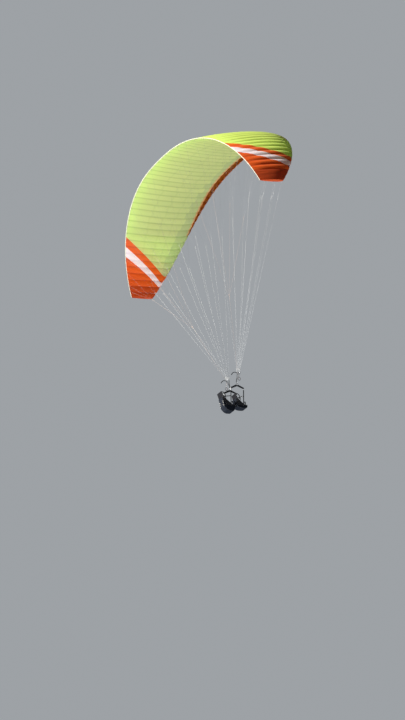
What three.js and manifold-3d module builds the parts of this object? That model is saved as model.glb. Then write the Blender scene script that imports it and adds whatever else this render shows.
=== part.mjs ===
import * as THREE from "three";
import { mergeVertices } from "three/addons/utils/BufferGeometryUtils.js";
import Module from "manifold-3d";

const wasm = await Module();
wasm.setup();

// wing planform and arc, millimetres and radians; X to the right wing, Y forward, Z up
const halfSpan = 7300;
const rootChord = 3403;
const noseSweep = 1476;
const nosePower = 3.79;
const tailSweep = 1023;
const tailPower = 2.051;
const arcAngle = 1.324;
const arcPower = 1.55;
const incidence = 0.048;
const tipTwist = 0.023;
const thickness = 0.152;
const camber = 0.004;
const tailHalf = 5;
const clothWall = 6;
const ribHalf = 3.5;
const seamGap = 0.15;
const cellsHalf = 24.5;
const openRibs = 14;
const centreRibs = 6;
const topPuff = 0.07;
const bottomPuff = 0.05;

// chord stations: upper skin from the trailing edge to the nose, then the lower skin back
const upperStations = [1, 0.84, 0.66, 0.48, 0.33, 0.2, 0.11, 0.05, 0.015];
const lowerStations = [0.012, 0.065, 0.13, 0.24, 0.4, 0.58, 0.78, 0.9, 1];
const loopCount = upperStations.length + 1 + lowerStations.length;
const innerTail = 0.93;
const intakeStart = 10;
const slopeStep = 1e-3;
const mouthDepth = 0.095;
const mouthFade = 0.73;
const mouthLeast = 0.03;

// colour bands as shares of the half span: at the trailing edge, near the nose on top, near the nose below
const bandEdges = [[0.66, 0.837, 0.884], [0.718, 0.868, 0.917], [0.776, 0.906, 0.938]];
const bandPower = { top: 1.65, low: 1.35 };
const bandBlend = 0.03;
const bandCell = 220;

// lines
const rowChord = { a: 0.1, b: 0.29, c: 0.56 };
const lineRibs = [[1, 3, 5], [7, 9, 11], [13, 15, 17], [19, 21, 23]];
const junctionShare = [0.7, 0.76, 0.8, 0.86];
const mainLine = { radius: 3, pitch: 6.4 };
const upperLine = { radius: 2, pitch: 5.6 };
const lineRun = { lift: 9, inside: 2, short: 0.25 };
const collars = { low: [14, 6], junction: [10, 5], brake: [12, 5], brakeFan: [9, 4.5] };
const rodRing = { longest: 200, inset: 24 };
const brakeRibs = [[2, 4, 6], [8, 10, 12], [14, 16, 18], [20, 22, 23]];
const brakeRun = { chord: 0.985, junction: [1150, -530, 2600], share: 0.62, above: 14, below: 15.1 };

// hang point geometry
const riserX = 455;
const riserTopZ = -8665;
const riserTopY = { a: 322, b: 267, c: 210 };
const carabinerX = 300;
const pivotY = 215;
const pivotZ = -9165;
const rearHangY = -60;
const frontHangY = 460;
const hangZ = -9275;
const link = { half: 19, halfWidth: 11, wire: 2.6, steps: 12 };
const pulley = { out: 16.8, front: 4, drop: 118, radius: 13, width: 9 };
const riser = {
  width: 24, thick: 3.2, head: 41.2, straight: 80, footUp: 106.3, block: [26, 16, 46], blockUp: 22,
  trimDrop: 76, trimWidth: 20, trimThick: 2.6,
  trim: [[0, 0], [-60, 26], [-130, 26], [-200, -14], [-250, -84]],
};
const mainHook = { half: 20, rise: 38, up: 50, corner: 12, wire: 5 };
const hangHook = { half: 14, rise: 26, down: 36, corner: 10, wire: 4.5 };
const spreader = { thick: 14, mainBore: 5.5, bore: 5 };
const handle = {
  out: 110, drop: 150, centre: 70, halfDepth: 42, halfHeight: 62, width: 22, thick: 7, steps: 14,
  swivel: [-12, 30], swivelRadius: 6,
};

// harnesses
const pieceGap = 0.3;
const seatDrop = 600;
const seatShape = { front: 165, back: 175, thick: 26, corner: 30 };
const backThick = 34;
const hangBand = { width: 38, thick: 3.5, branchWidth: 30, branchThick: 3 };
const shoulderBand = { width: 44, thick: 5, apart: 112, reach: 168, chest: 140 };
const chestBand = { width: 24, thick: 4 };
const legBand = { width: 36, thick: 4, gap: 0.5, steps: 18 };

const colours = {
  lime: "#c3d65a", orange: "#e8622a", white: "#f2ece6", line: "#e9e6dc", riser: "#2a2c30",
  grip: "#3a3436", metal: "#b9bdc2", darkMetal: "#3a3c40", harness: "#24262b", panel: "#33363d",
  pad: "#2b2f3a",
};
const clothRough = 0.6;
const cordRough = 0.8;

const part = new THREE.Group();
part.name = "tandem_paraglider";

function add(name, geometry, color, roughness, metalness = 0) {
  const clean = weld(geometry);
  clean.computeVertexNormals();
  const mesh = new THREE.Mesh(clean, new THREE.MeshStandardMaterial({ color, roughness, metalness }));
  mesh.name = name;
  part.add(mesh);
}

function fromLists(points, faces) {
  const geometry = new THREE.BufferGeometry();
  const flat = [];
  points.forEach((p) => flat.push(p.x, p.y, p.z));
  let volume = 0;
  for (let i = 0; i < faces.length; i += 3) {
    const [a, b, c] = [points[faces[i]], points[faces[i + 1]], points[faces[i + 2]]];
    volume += a.dot(new THREE.Vector3().crossVectors(b, c));
  }
  const ordered = volume < 0 ? [...faces].reverse() : faces;
  geometry.setAttribute("position", new THREE.Float32BufferAttribute(flat, 3));
  geometry.setIndex(ordered);
  return geometry;
}

function weld(geometry) {
  const g = geometry.clone();
  if (g.attributes.normal) g.deleteAttribute("normal");
  if (g.attributes.uv) g.deleteAttribute("uv");
  return mergeVertices(g, 1e-3);
}

function toSolid(geometry) {
  const g = weld(geometry);
  return new wasm.Manifold(new wasm.Mesh({
    numProp: 3,
    vertProperties: new Float32Array(g.attributes.position.array),
    triVerts: new Uint32Array(g.index.array),
  }));
}

function fromSolid(solid) {
  const mesh = solid.getMesh();
  const geometry = new THREE.BufferGeometry();
  geometry.setAttribute("position", new THREE.Float32BufferAttribute(Array.from(mesh.vertProperties), 3));
  geometry.setIndex(Array.from(mesh.triVerts));
  return geometry;
}

function join(list) {
  let whole = toSolid(list[0]);
  for (const g of list.slice(1)) whole = whole.add(toSolid(g));
  return fromSolid(whole);
}

function cut(body, tools) {
  let whole = toSolid(body);
  for (const g of tools) whole = whole.subtract(toSolid(g));
  return fromSolid(whole);
}

// arc of the wing: position and lean of the span line at share t of the half span
const arcSteps = 400;
const arcX = [0];
const arcZ = [0];
for (let i = 0; i < arcSteps; i++) {
  const lean = arcAngle * Math.pow((i + 0.5) / arcSteps, arcPower);
  arcX.push(arcX[i] + (halfSpan / arcSteps) * Math.cos(lean));
  arcZ.push(arcZ[i] - (halfSpan / arcSteps) * Math.sin(lean));
}

function station(t) {
  const s = Math.min(Math.abs(t), 1) * arcSteps;
  const i = Math.min(Math.floor(s), arcSteps - 1);
  const f = s - i;
  const a = Math.abs(t);
  const nose = rootChord / 2 - noseSweep * Math.pow(a, nosePower);
  const tail = -rootChord / 2 + tailSweep * Math.pow(a, tailPower);
  return {
    x: arcX[i] + f * (arcX[i + 1] - arcX[i]),
    z: arcZ[i] + f * (arcZ[i + 1] - arcZ[i]),
    lean: arcAngle * Math.pow(a, arcPower),
    nose,
    chord: nose - tail,
    pitch: Math.tan(incidence + tipTwist * a * a),
  };
}

function ribShare(k) {
  const u = (k + 0.5) / cellsHalf;
  return u * (1.12 - 0.12 * u * u);
}

// height of the four-digit wing section at chord share c, as a share of the chord
function profile(c, side) {
  const bulge = 0.2969 * Math.sqrt(c) - 0.126 * c - 0.3516 * c * c + 0.2843 * c ** 3 - 0.1036 * c ** 4;
  return 4 * camber * c * (1 - c) + side * 5 * thickness * bulge;
}

// chord share where a mouth ends, lower towards the tips; beyond the last mouth it is a plain station
function mouthEnd(t) {
  if (Math.abs(t) > ribShare(openRibs)) return lowerStations[1];
  return Math.max(mouthLeast, lowerStations[0] + mouthDepth * (1 - (t / mouthFade) ** 2));
}

// closed loop of section points, each with its outward normal, in (back, up) millimetres
function sectionLoop(chord, tailShare, t) {
  const list = [];
  upperStations.forEach((c) => list.push([Math.min(c, tailShare), 1]));
  list.push([0, 0]);
  lowerStations.forEach((c, i) => list.push([i === 1 ? mouthEnd(t) : Math.min(c, tailShare), -1]));
  return list.map(([c, side]) => {
    const up = chord * profile(c, side) + side * tailHalf * c;
    let nx = -1;
    let nz = 0;
    if (side !== 0) {
      const before = Math.max(c - slopeStep, 1e-5);
      const after = Math.min(c + slopeStep, 1);
      const slope = (profile(after, side) - profile(before, side)) / (after - before);
      const size = Math.hypot(slope, 1);
      nx = (-side * slope) / size;
      nz = side / size;
    }
    return { c, side, back: c * chord, up, nx, nz };
  });
}

function place(t, mirror, back, up) {
  const s = station(t);
  const y = s.nose - back;
  const off = y * s.pitch + up;
  return new THREE.Vector3(mirror * (s.x + Math.sin(s.lean) * off), y, s.z + Math.cos(s.lean) * off);
}

function puffShare(c) {
  return Math.pow(Math.min(1, (1 - c) / 0.4), 0.8);
}

// outline of the skin at share t, or at one share for each loop point where the edge is slanted
function outline(tList, mirror, wall, puff) {
  const row = [];
  for (let i = 0; i < loopCount; i++) {
    const t = Array.isArray(tList) ? tList[i] : tList;
    const side = t < 0 ? -mirror : mirror;
    const p = sectionLoop(station(t).chord, wall > 0 ? innerTail : 1, t)[i];
    const grow = puff * puffShare(p.c) * (p.side < 0 ? bottomPuff : topPuff) - wall;
    row.push(place(Math.abs(t), side, p.back + p.nx * grow, p.up + p.nz * grow));
  }
  return row;
}

function gridMaker() {
  const points = [];
  const faces = [];
  return {
    points,
    faces,
    row: (list) => points.push(...list) - list.length,
    tri: (a, b, c) => faces.push(a, b, c),
    quad: (a, b, c, d) => faces.push(a, b, c, a, c, d),
  };
}

function capRows(grid, start, rising) {
  const n = loopCount;
  for (let i = 0; i < (n - 1) / 2; i++) {
    const a = start + i;
    const b = start + i + 1;
    const c = start + n - 2 - i;
    const d = start + n - 1 - i;
    if (b === c) {
      if (rising) grid.tri(a, b, d);
      else grid.tri(a, d, b);
    } else if (rising) grid.quad(a, b, c, d);
    else grid.quad(a, d, c, b);
  }
}

// ribbed section of the wing with an open mouth in each cell; ribs run from first to last, signed shares
function ribbedSection(shares) {
  const grid = gridMaker();
  const rib = ribHalf / halfSpan;
  const gap = seamGap / halfSpan;
  const rows = [];
  const cells = shares.length - 1;
  const width = (k) => (shares[k + 1] - shares[k]) * halfSpan;
  rows.push(grid.row(outline(shares[0] + gap, 1, 0, 0)));
  const cellRows = [];
  for (let k = 0; k < cells; k++) {
    const a = shares[k] + rib;
    const b = shares[k + 1] - rib;
    const spots = [[a, 0], [(a + b) / 2, width(k)], [b, 0]];
    const outer = spots.map(([t, puff]) => grid.row(outline(t, 1, 0, puff)));
    const inner = spots.map(([t, puff]) => grid.row(outline(t, 1, clothWall, puff)));
    cellRows.push({ outer, inner });
    rows.push(...outer);
  }
  rows.push(grid.row(outline(shares[cells] - gap, 1, 0, 0)));
  const n = loopCount;
  const mouthRow = new Set();
  cellRows.forEach(({ outer }) => outer.slice(0, 2).forEach((row) => mouthRow.add(row)));
  for (let j = 0; j < rows.length - 1; j++) {
    for (let i = 0; i < n; i++) {
      if (i === intakeStart && mouthRow.has(rows[j])) continue;
      const i2 = (i + 1) % n;
      grid.quad(rows[j] + i, rows[j] + i2, rows[j + 1] + i2, rows[j + 1] + i);
    }
  }
  capRows(grid, rows[0], false);
  capRows(grid, rows[rows.length - 1], true);
  cellRows.forEach(({ outer, inner }) => {
    for (let m = 0; m < 2; m++) {
      for (let i = 0; i < n; i++) {
        if (i === intakeStart) continue;
        const i2 = (i + 1) % n;
        grid.quad(inner[m] + i2, inner[m] + i, inner[m + 1] + i, inner[m + 1] + i2);
      }
      const h = intakeStart;
      grid.quad(outer[m] + h + 1, outer[m + 1] + h + 1, inner[m + 1] + h + 1, inner[m] + h + 1);
      grid.quad(outer[m + 1] + h, outer[m] + h, inner[m] + h, inner[m + 1] + h);
    }
    const h = intakeStart;
    grid.quad(outer[0] + h, outer[0] + h + 1, inner[0] + h + 1, inner[0] + h);
    grid.quad(outer[2] + h + 1, outer[2] + h, inner[2] + h, inner[2] + h + 1);
    capRows(grid, inner[0], true);
    capRows(grid, inner[2], false);
  });
  return fromLists(grid.points, grid.faces);
}

// share of the half span where a band's edge crosses chord share c; the two skins' edges meet at the nose
function bandShare([tail, topNose, lowNose], c, side) {
  const nose = side < 0 ? lowNose : topNose;
  const power = side < 0 ? bandPower.low : bandPower.top;
  const middle = (topNose + lowNose) / 2;
  return tail + (nose - tail) * (1 - Math.pow(c, power)) + (middle - nose) * Math.exp(-c / bandBlend);
}

// hollow sleeve of skin between two slanted edges; the tip piece is closed by its last rib
function sleeve(lowEdge, highEdge, steps, mirror, closed) {
  const grid = gridMaker();
  const gap = seamGap / halfSpan;
  const all = [...upperStations, 0, ...lowerStations];
  const puff = bandCell / 2;
  const sideAt = (i) => (i < upperStations.length ? 1 : -1);
  const edgeAt = (edge, i) => (Array.isArray(edge) ? bandShare(edge, all[i], sideAt(i)) : edge);
  const outer = [];
  const inner = [];
  for (let j = 0; j <= steps; j++) {
    const list = all.map((c, i) => {
      const low = edgeAt(lowEdge, i) + gap;
      const high = edgeAt(highEdge, i) - (closed ? 0 : gap);
      return low + ((high - low) * j) / steps;
    });
    const innerList = closed && j === steps ? list.map((t) => t - clothWall / halfSpan) : list;
    const endPuff = closed && j === steps ? 0 : puff;
    outer.push(grid.row(outline(list, mirror, 0, endPuff)));
    inner.push(grid.row(outline(innerList, mirror, clothWall, endPuff)));
  }
  const n = loopCount;
  for (let i = 0; i < n; i++) {
    const i2 = (i + 1) % n;
    for (let j = 0; j < steps; j++) {
      grid.quad(outer[j] + i, outer[j] + i2, outer[j + 1] + i2, outer[j + 1] + i);
      grid.quad(inner[j] + i2, inner[j] + i, inner[j + 1] + i, inner[j + 1] + i2);
    }
    grid.quad(outer[0] + i2, outer[0] + i, inner[0] + i, inner[0] + i2);
    if (!closed) grid.quad(outer[steps] + i2, inner[steps] + i2, inner[steps] + i, outer[steps] + i);
  }
  if (closed) {
    capRows(grid, outer[steps], true);
    capRows(grid, inner[steps], false);
  }
  return fromLists(grid.points, grid.faces);
}

// sweep of a section along points; its first axis follows the side direction, one for all or one a point
function sweep(points, section, side, closed = false) {
  const grid = gridMaker();
  const n = points.length;
  const rows = points.map((p, i) => {
    const before = closed ? points[(i + n - 1) % n] : points[Math.max(i - 1, 0)];
    const after = closed ? points[(i + 1) % n] : points[Math.min(i + 1, n - 1)];
    const inDir = p.clone().sub(before).normalize();
    const outDir = after.clone().sub(p).normalize();
    const along = inDir.clone().add(outDir).normalize();
    const wide = Array.isArray(side) ? side[i] : side;
    const a = wide.clone().sub(along.clone().multiplyScalar(wide.dot(along))).normalize();
    const b = new THREE.Vector3().crossVectors(along, a).normalize();
    const bend = inDir.lengthSq() > 0 && outDir.lengthSq() > 0 ? Math.max(inDir.dot(along), 0.5) : 1;
    return grid.row(section.map(([u, v]) => p.clone().addScaledVector(a, u).addScaledVector(b, v / bend)));
  });
  const m = section.length;
  const last = closed ? n : n - 1;
  for (let j = 0; j < last; j++) {
    for (let i = 0; i < m; i++) {
      const i2 = (i + 1) % m;
      grid.quad(rows[j] + i, rows[j] + i2, rows[(j + 1) % n] + i2, rows[(j + 1) % n] + i);
    }
  }
  if (!closed) {
    for (let i = 1; i < m - 1; i++) {
      grid.tri(rows[0], rows[0] + i + 1, rows[0] + i);
      grid.tri(rows[n - 1], rows[n - 1] + i, rows[n - 1] + i + 1);
    }
  }
  return fromLists(grid.points, grid.faces);
}

// slab of a flat shape, its outline taken as plain points without a repeated one at the end
function slab(shape, depth, curveSteps) {
  const points = shape.getPoints(curveSteps);
  const plain = points.filter((p, i) => p.distanceTo(points[(i + 1) % points.length]) > 1e-3);
  return new THREE.ExtrudeGeometry(new THREE.Shape(plain), { depth, bevelEnabled: false });
}

function round(radius, sides = 6, phase = 0.5) {
  const list = [];
  for (let i = 0; i < sides; i++) {
    const a = (2 * Math.PI * (i + phase)) / sides;
    list.push([radius * Math.cos(a), radius * Math.sin(a)]);
  }
  return list;
}

function flat(width, thick) {
  return [[-width / 2, -thick / 2], [width / 2, -thick / 2], [width / 2, thick / 2], [-width / 2, thick / 2]];
}

const v = (x, y, z) => new THREE.Vector3(x, y, z);
const sideX = v(1, 0, 0);
const sideY = v(0, 1, 0);

// straight round bar; a long one has a ring near its ends
function rod(a, b, radius, sides = 6, phase = 0.5, endRing = true) {
  const dir = b.clone().sub(a);
  const length = dir.length();
  const side = Math.abs(dir.x) > 0.8 * length ? sideY : sideX;
  const inset = rodRing.inset / length;
  const path = [a];
  if (length > rodRing.longest) path.push(a.clone().addScaledVector(dir, inset));
  if (length > rodRing.longest && endRing) path.push(b.clone().addScaledVector(dir, -inset));
  path.push(b);
  return sweep(path, round(radius, sides, phase), side);
}

// rounded upright ring around a centre, from the middles of its corners
function ringPath(x, y, z, half, rise, corner) {
  const corners = [[half, rise, 0], [-half, rise, 90], [-half, -rise, 180], [half, -rise, 270]];
  const points = [];
  for (const [cx, cz, from] of corners) {
    for (const step of [0, 45, 90]) {
      const a = THREE.MathUtils.degToRad(from + step);
      points.push(v(x + cx + corner * Math.cos(a), y, z + cz + corner * Math.sin(a)));
    }
  }
  return points;
}

// profile in the (Y, Z) plane, spread across X
function across(points, width) {
  const shape = new THREE.Shape(points.map(([y, z]) => new THREE.Vector2(y, z)));
  const g = new THREE.ExtrudeGeometry(shape, { depth: width, bevelEnabled: false });
  g.applyMatrix4(new THREE.Matrix4().makeBasis(v(0, 1, 0), v(0, 0, 1), v(1, 0, 0)));
  g.translate(-width / 2, 0, 0);
  return g;
}

// wing skins
const ribs = [];
for (let k = 0; k <= openRibs; k++) ribs.push(ribShare(k));
const middle = ribs.slice(0, centreRibs + 1);
const rightInner = ribs.slice(centreRibs);
const mirrored = (list) => [...list].reverse().map((t) => -t);
add("canopy_centre", ribbedSection([...mirrored(middle), ...middle]), colours.lime, clothRough);
add("canopy_inner_right", ribbedSection(rightInner), colours.lime, clothRough);
add("canopy_inner_left", ribbedSection(mirrored(rightInner)), colours.lime, clothRough);
const sides = [["right", 1], ["left", -1]];
const [bandLow, bandHigh, stripeHigh] = bandEdges;
for (const [side, mirror] of sides) {
  const piece = (from, to, steps, end = false) => sleeve(from, to, steps, mirror, end);
  add(`canopy_outer_${side}`, piece(ribShare(openRibs), bandLow, 5), colours.lime, clothRough);
  add(`canopy_band_${side}`, piece(bandLow, bandHigh, 2), colours.orange, clothRough);
  add(`canopy_stripe_${side}`, piece(bandHigh, stripeHigh, 3), colours.white, clothRough);
  add(`canopy_tip_${side}`, piece(stripeHigh, 1, 5, true), colours.orange, clothRough);
}

const skins = [...part.children];
skins.forEach((m) => {
  m.material.side = THREE.DoubleSide;
  m.updateMatrixWorld(true);
});

// a point just inside the lower skin at a rib
function skinPoint(share, c, mirror) {
  const { chord } = station(share);
  return place(share, mirror, c * chord, chord * profile(c, -1) - tailHalf * c + lineRun.inside);
}

// where a line from a junction meets the cloth, short of it by the seam allowance
function meet(from, target, radius) {
  const dir = target.clone().sub(from).normalize();
  const hit = new THREE.Raycaster(from, dir).intersectObjects(skins, false)[0];
  if (!hit) return target;
  const facing = Math.abs(hit.face.normal.dot(dir));
  const tilt = Math.sqrt(Math.max(0, 1 - facing * facing)) / Math.max(facing, 0.2);
  return from.clone().addScaledVector(dir, hit.distance - lineRun.short - radius * tilt);
}

// short cross bar where several lines start side by side
function collar(p, [half, radius]) {
  return rod(p.clone().add(v(-half, 0, 0)), p.clone().add(v(half, 0, 0)), radius);
}

// start of line i of some, set side by side
function beside(p, mirror, pitch, i, count) {
  return p.clone().add(v(mirror * pitch * (i - (count - 1) / 2), 0, 0));
}

function meanOf(points) {
  return points.reduce((sum, p) => sum.add(p), v(0, 0, 0)).multiplyScalar(1 / points.length);
}

// lines that part in two steps: from one point to the junctions, and from each of those to the cloth
function fan(from, groups, shares, trunk, collarSize, mirror) {
  const list = [];
  groups.forEach((tops, m) => {
    const junction = from.clone().lerp(meanOf(tops), shares[m]);
    const start = beside(from, mirror, trunk.pitch, m, groups.length);
    list.push(rod(start, junction, trunk.radius, 5, 0.13 + 0.09 * m));
    list.push(collar(junction, collarSize));
    tops.forEach((p, i) => {
      const low = beside(junction, mirror, upperLine.pitch, i, tops.length);
      const high = meet(low, p, upperLine.radius);
      list.push(rod(low, high, upperLine.radius, 5, 0.31 + 0.07 * i, false));
    });
  });
  return list;
}

const rowNames = Object.keys(rowChord);
for (const [side, mirror] of sides) {
  for (const row of rowNames) {
    const low = v(mirror * riserX, riserTopY[row], riserTopZ + lineRun.lift);
    const groups = lineRibs.map((list) => list.map((k) => skinPoint(ribShare(k), rowChord[row], mirror)));
    const lines = fan(low, groups, junctionShare, mainLine, collars.junction, mirror);
    add(`lines_${row}_${side}`, join([collar(low, collars.low), ...lines]), colours.line, cordRough);
  }

  // brake lines, from the pulley to one junction and on to the trailing edge
  const pulleyAt = v(mirror * (riserX + pulley.out), riserTopY.c + pulley.front, riserTopZ - pulley.drop);
  const [outX, outY, outZ] = brakeRun.junction;
  const brakeJunction = pulleyAt.clone().add(v(mirror * outX, outY, outZ));
  const brakeTop = (k) => skinPoint(ribShare(k), brakeRun.chord, mirror);
  const brakeGroups = brakeRibs.map((list) => list.map(brakeTop));
  const brakeShares = brakeGroups.map(() => brakeRun.share);
  add(`brake_lines_${side}`, join([
    rod(pulleyAt.clone().add(v(0, 0, brakeRun.above)), brakeJunction, mainLine.radius),
    collar(brakeJunction, collars.brake),
    ...fan(brakeJunction, brakeGroups, brakeShares, upperLine, collars.brakeFan, mirror),
  ]), colours.line, cordRough);

  // risers: three webbing straps from the links to the main carabiner
  const foot = v(mirror * carabinerX, pivotY, pivotZ + riser.footUp);
  const straps = rowNames.map((row) => {
    const head = v(mirror * riserX, riserTopY[row], riserTopZ);
    const apart = riserTopY[row] - riserTopY.b;
    return sweep([
      head.clone().add(v(0, 0, -riser.head)),
      head.clone().add(v(0, 0, -riser.straight)),
      foot.clone().add(v(0, apart * 0.12, 60)),
      foot.clone().add(v(0, apart * 0.06, 0)),
    ], flat(riser.width, riser.thick), sideX);
  });
  const footBlock = new THREE.BoxGeometry(...riser.block);
  footBlock.translate(foot.x, foot.y, foot.z + riser.blockUp);
  // free end of the trim strap, trailing behind the rear riser
  const trimTop = v(mirror * riserX, riserTopY.c - 0.5, riserTopZ - riser.trimDrop);
  const trimRoute = riser.trim.map(([y, z]) => trimTop.clone().add(v(0, y, z)));
  const trim = sweep(trimRoute, flat(riser.trimWidth, riser.trimThick), sideX);
  add(`risers_${side}`, join([...straps, footBlock, trim]), colours.riser, 0.85);

  // oval links under each line group
  for (const row of rowNames) {
    const points = [];
    for (let i = 0; i < link.steps; i++) {
      const a = (2 * Math.PI * i) / link.steps;
      const up = riserTopZ - link.half + link.half * Math.sin(a);
      points.push(v(mirror * riserX + link.halfWidth * Math.cos(a), riserTopY[row], up));
    }
    add(`link_${row}_${side}`, sweep(points, round(link.wire), sideY, true), colours.metal, 0.3, 0.9);
  }

  // brake pulley beside the rear riser
  const wheel = new THREE.CylinderGeometry(pulley.radius, pulley.radius, pulley.width, 16);
  wheel.rotateZ(Math.PI / 2);
  wheel.translate(pulleyAt.x, pulleyAt.y, pulleyAt.z);
  add(`pulley_${side}`, wheel, colours.darkMetal, 0.4, 0.6);

  // main carabiner
  const hookZ = pivotZ + mainHook.up;
  const { half, rise, corner, wire } = mainHook;
  const hook = ringPath(foot.x, pivotY, hookZ, half, rise, corner);
  add(`main_carabiner_${side}`, sweep(hook, round(wire), sideY, true), colours.metal, 0.3, 0.9);

  // spreader bar with holes for the main and the two hang carabiners
  const shape = new THREE.Shape();
  shape.moveTo(rearHangY - 30, hangZ - 14);
  shape.quadraticCurveTo(rearHangY - 36, hangZ + 18, rearHangY - 6, hangZ + 30);
  shape.lineTo(pivotY - 40, pivotZ + 26);
  shape.quadraticCurveTo(pivotY, pivotZ + 44, pivotY + 40, pivotZ + 26);
  shape.lineTo(frontHangY + 6, hangZ + 30);
  shape.quadraticCurveTo(frontHangY + 36, hangZ + 18, frontHangY + 30, hangZ - 14);
  shape.quadraticCurveTo(frontHangY + 6, hangZ - 34, frontHangY - 24, hangZ - 22);
  shape.lineTo(pivotY + 10, pivotZ - 40);
  shape.lineTo(pivotY - 10, pivotZ - 40);
  shape.lineTo(rearHangY + 24, hangZ - 22);
  shape.quadraticCurveTo(rearHangY - 6, hangZ - 34, rearHangY - 30, hangZ - 14);
  const bar = slab(shape, spreader.thick, 5);
  bar.applyMatrix4(new THREE.Matrix4().makeBasis(v(0, 1, 0), v(0, 0, 1), v(1, 0, 0)));
  bar.translate(mirror * carabinerX - spreader.thick / 2, 0, 0);
  const bores = [[pivotY, pivotZ, spreader.mainBore], [rearHangY, hangZ, spreader.bore],
    [frontHangY, hangZ, spreader.bore]];
  const pins = bores.map(([y, z, r]) => {
    const centre = v(mirror * carabinerX, y, z);
    return rod(centre.clone().add(v(-20, 0, 0)), centre.clone().add(v(20, 0, 0)), r, 16);
  });
  add(`spreader_${side}`, cut(bar, pins), colours.harness, 0.5);

  // brake handle: a grip ring on a short swivel
  const gripTop = v(mirror * (riserX + handle.out), pulleyAt.y, pulleyAt.z - handle.drop);
  const grip = [];
  for (let i = 0; i < handle.steps; i++) {
    const a = (2 * Math.PI * i) / handle.steps;
    const reach = handle.halfDepth * Math.sin(a) * (1.1 - 0.1 * Math.cos(a));
    grip.push(gripTop.clone().add(v(0, reach, handle.halfHeight * Math.cos(a) - handle.centre)));
  }
  const aboveGrip = (up) => gripTop.clone().add(v(0, 0, up));
  const [swivelLow, swivelHigh] = handle.swivel;
  const underPulley = pulleyAt.clone().add(v(0, 0, -brakeRun.below));
  add(`brake_handle_${side}`, join([
    sweep(grip, flat(handle.width, handle.thick), sideX, true),
    rod(aboveGrip(swivelLow), aboveGrip(swivelHigh), handle.swivelRadius, 8),
    rod(aboveGrip(swivelHigh - 2), underPulley, mainLine.radius),
  ]), colours.grip, cordRough);
}

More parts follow.
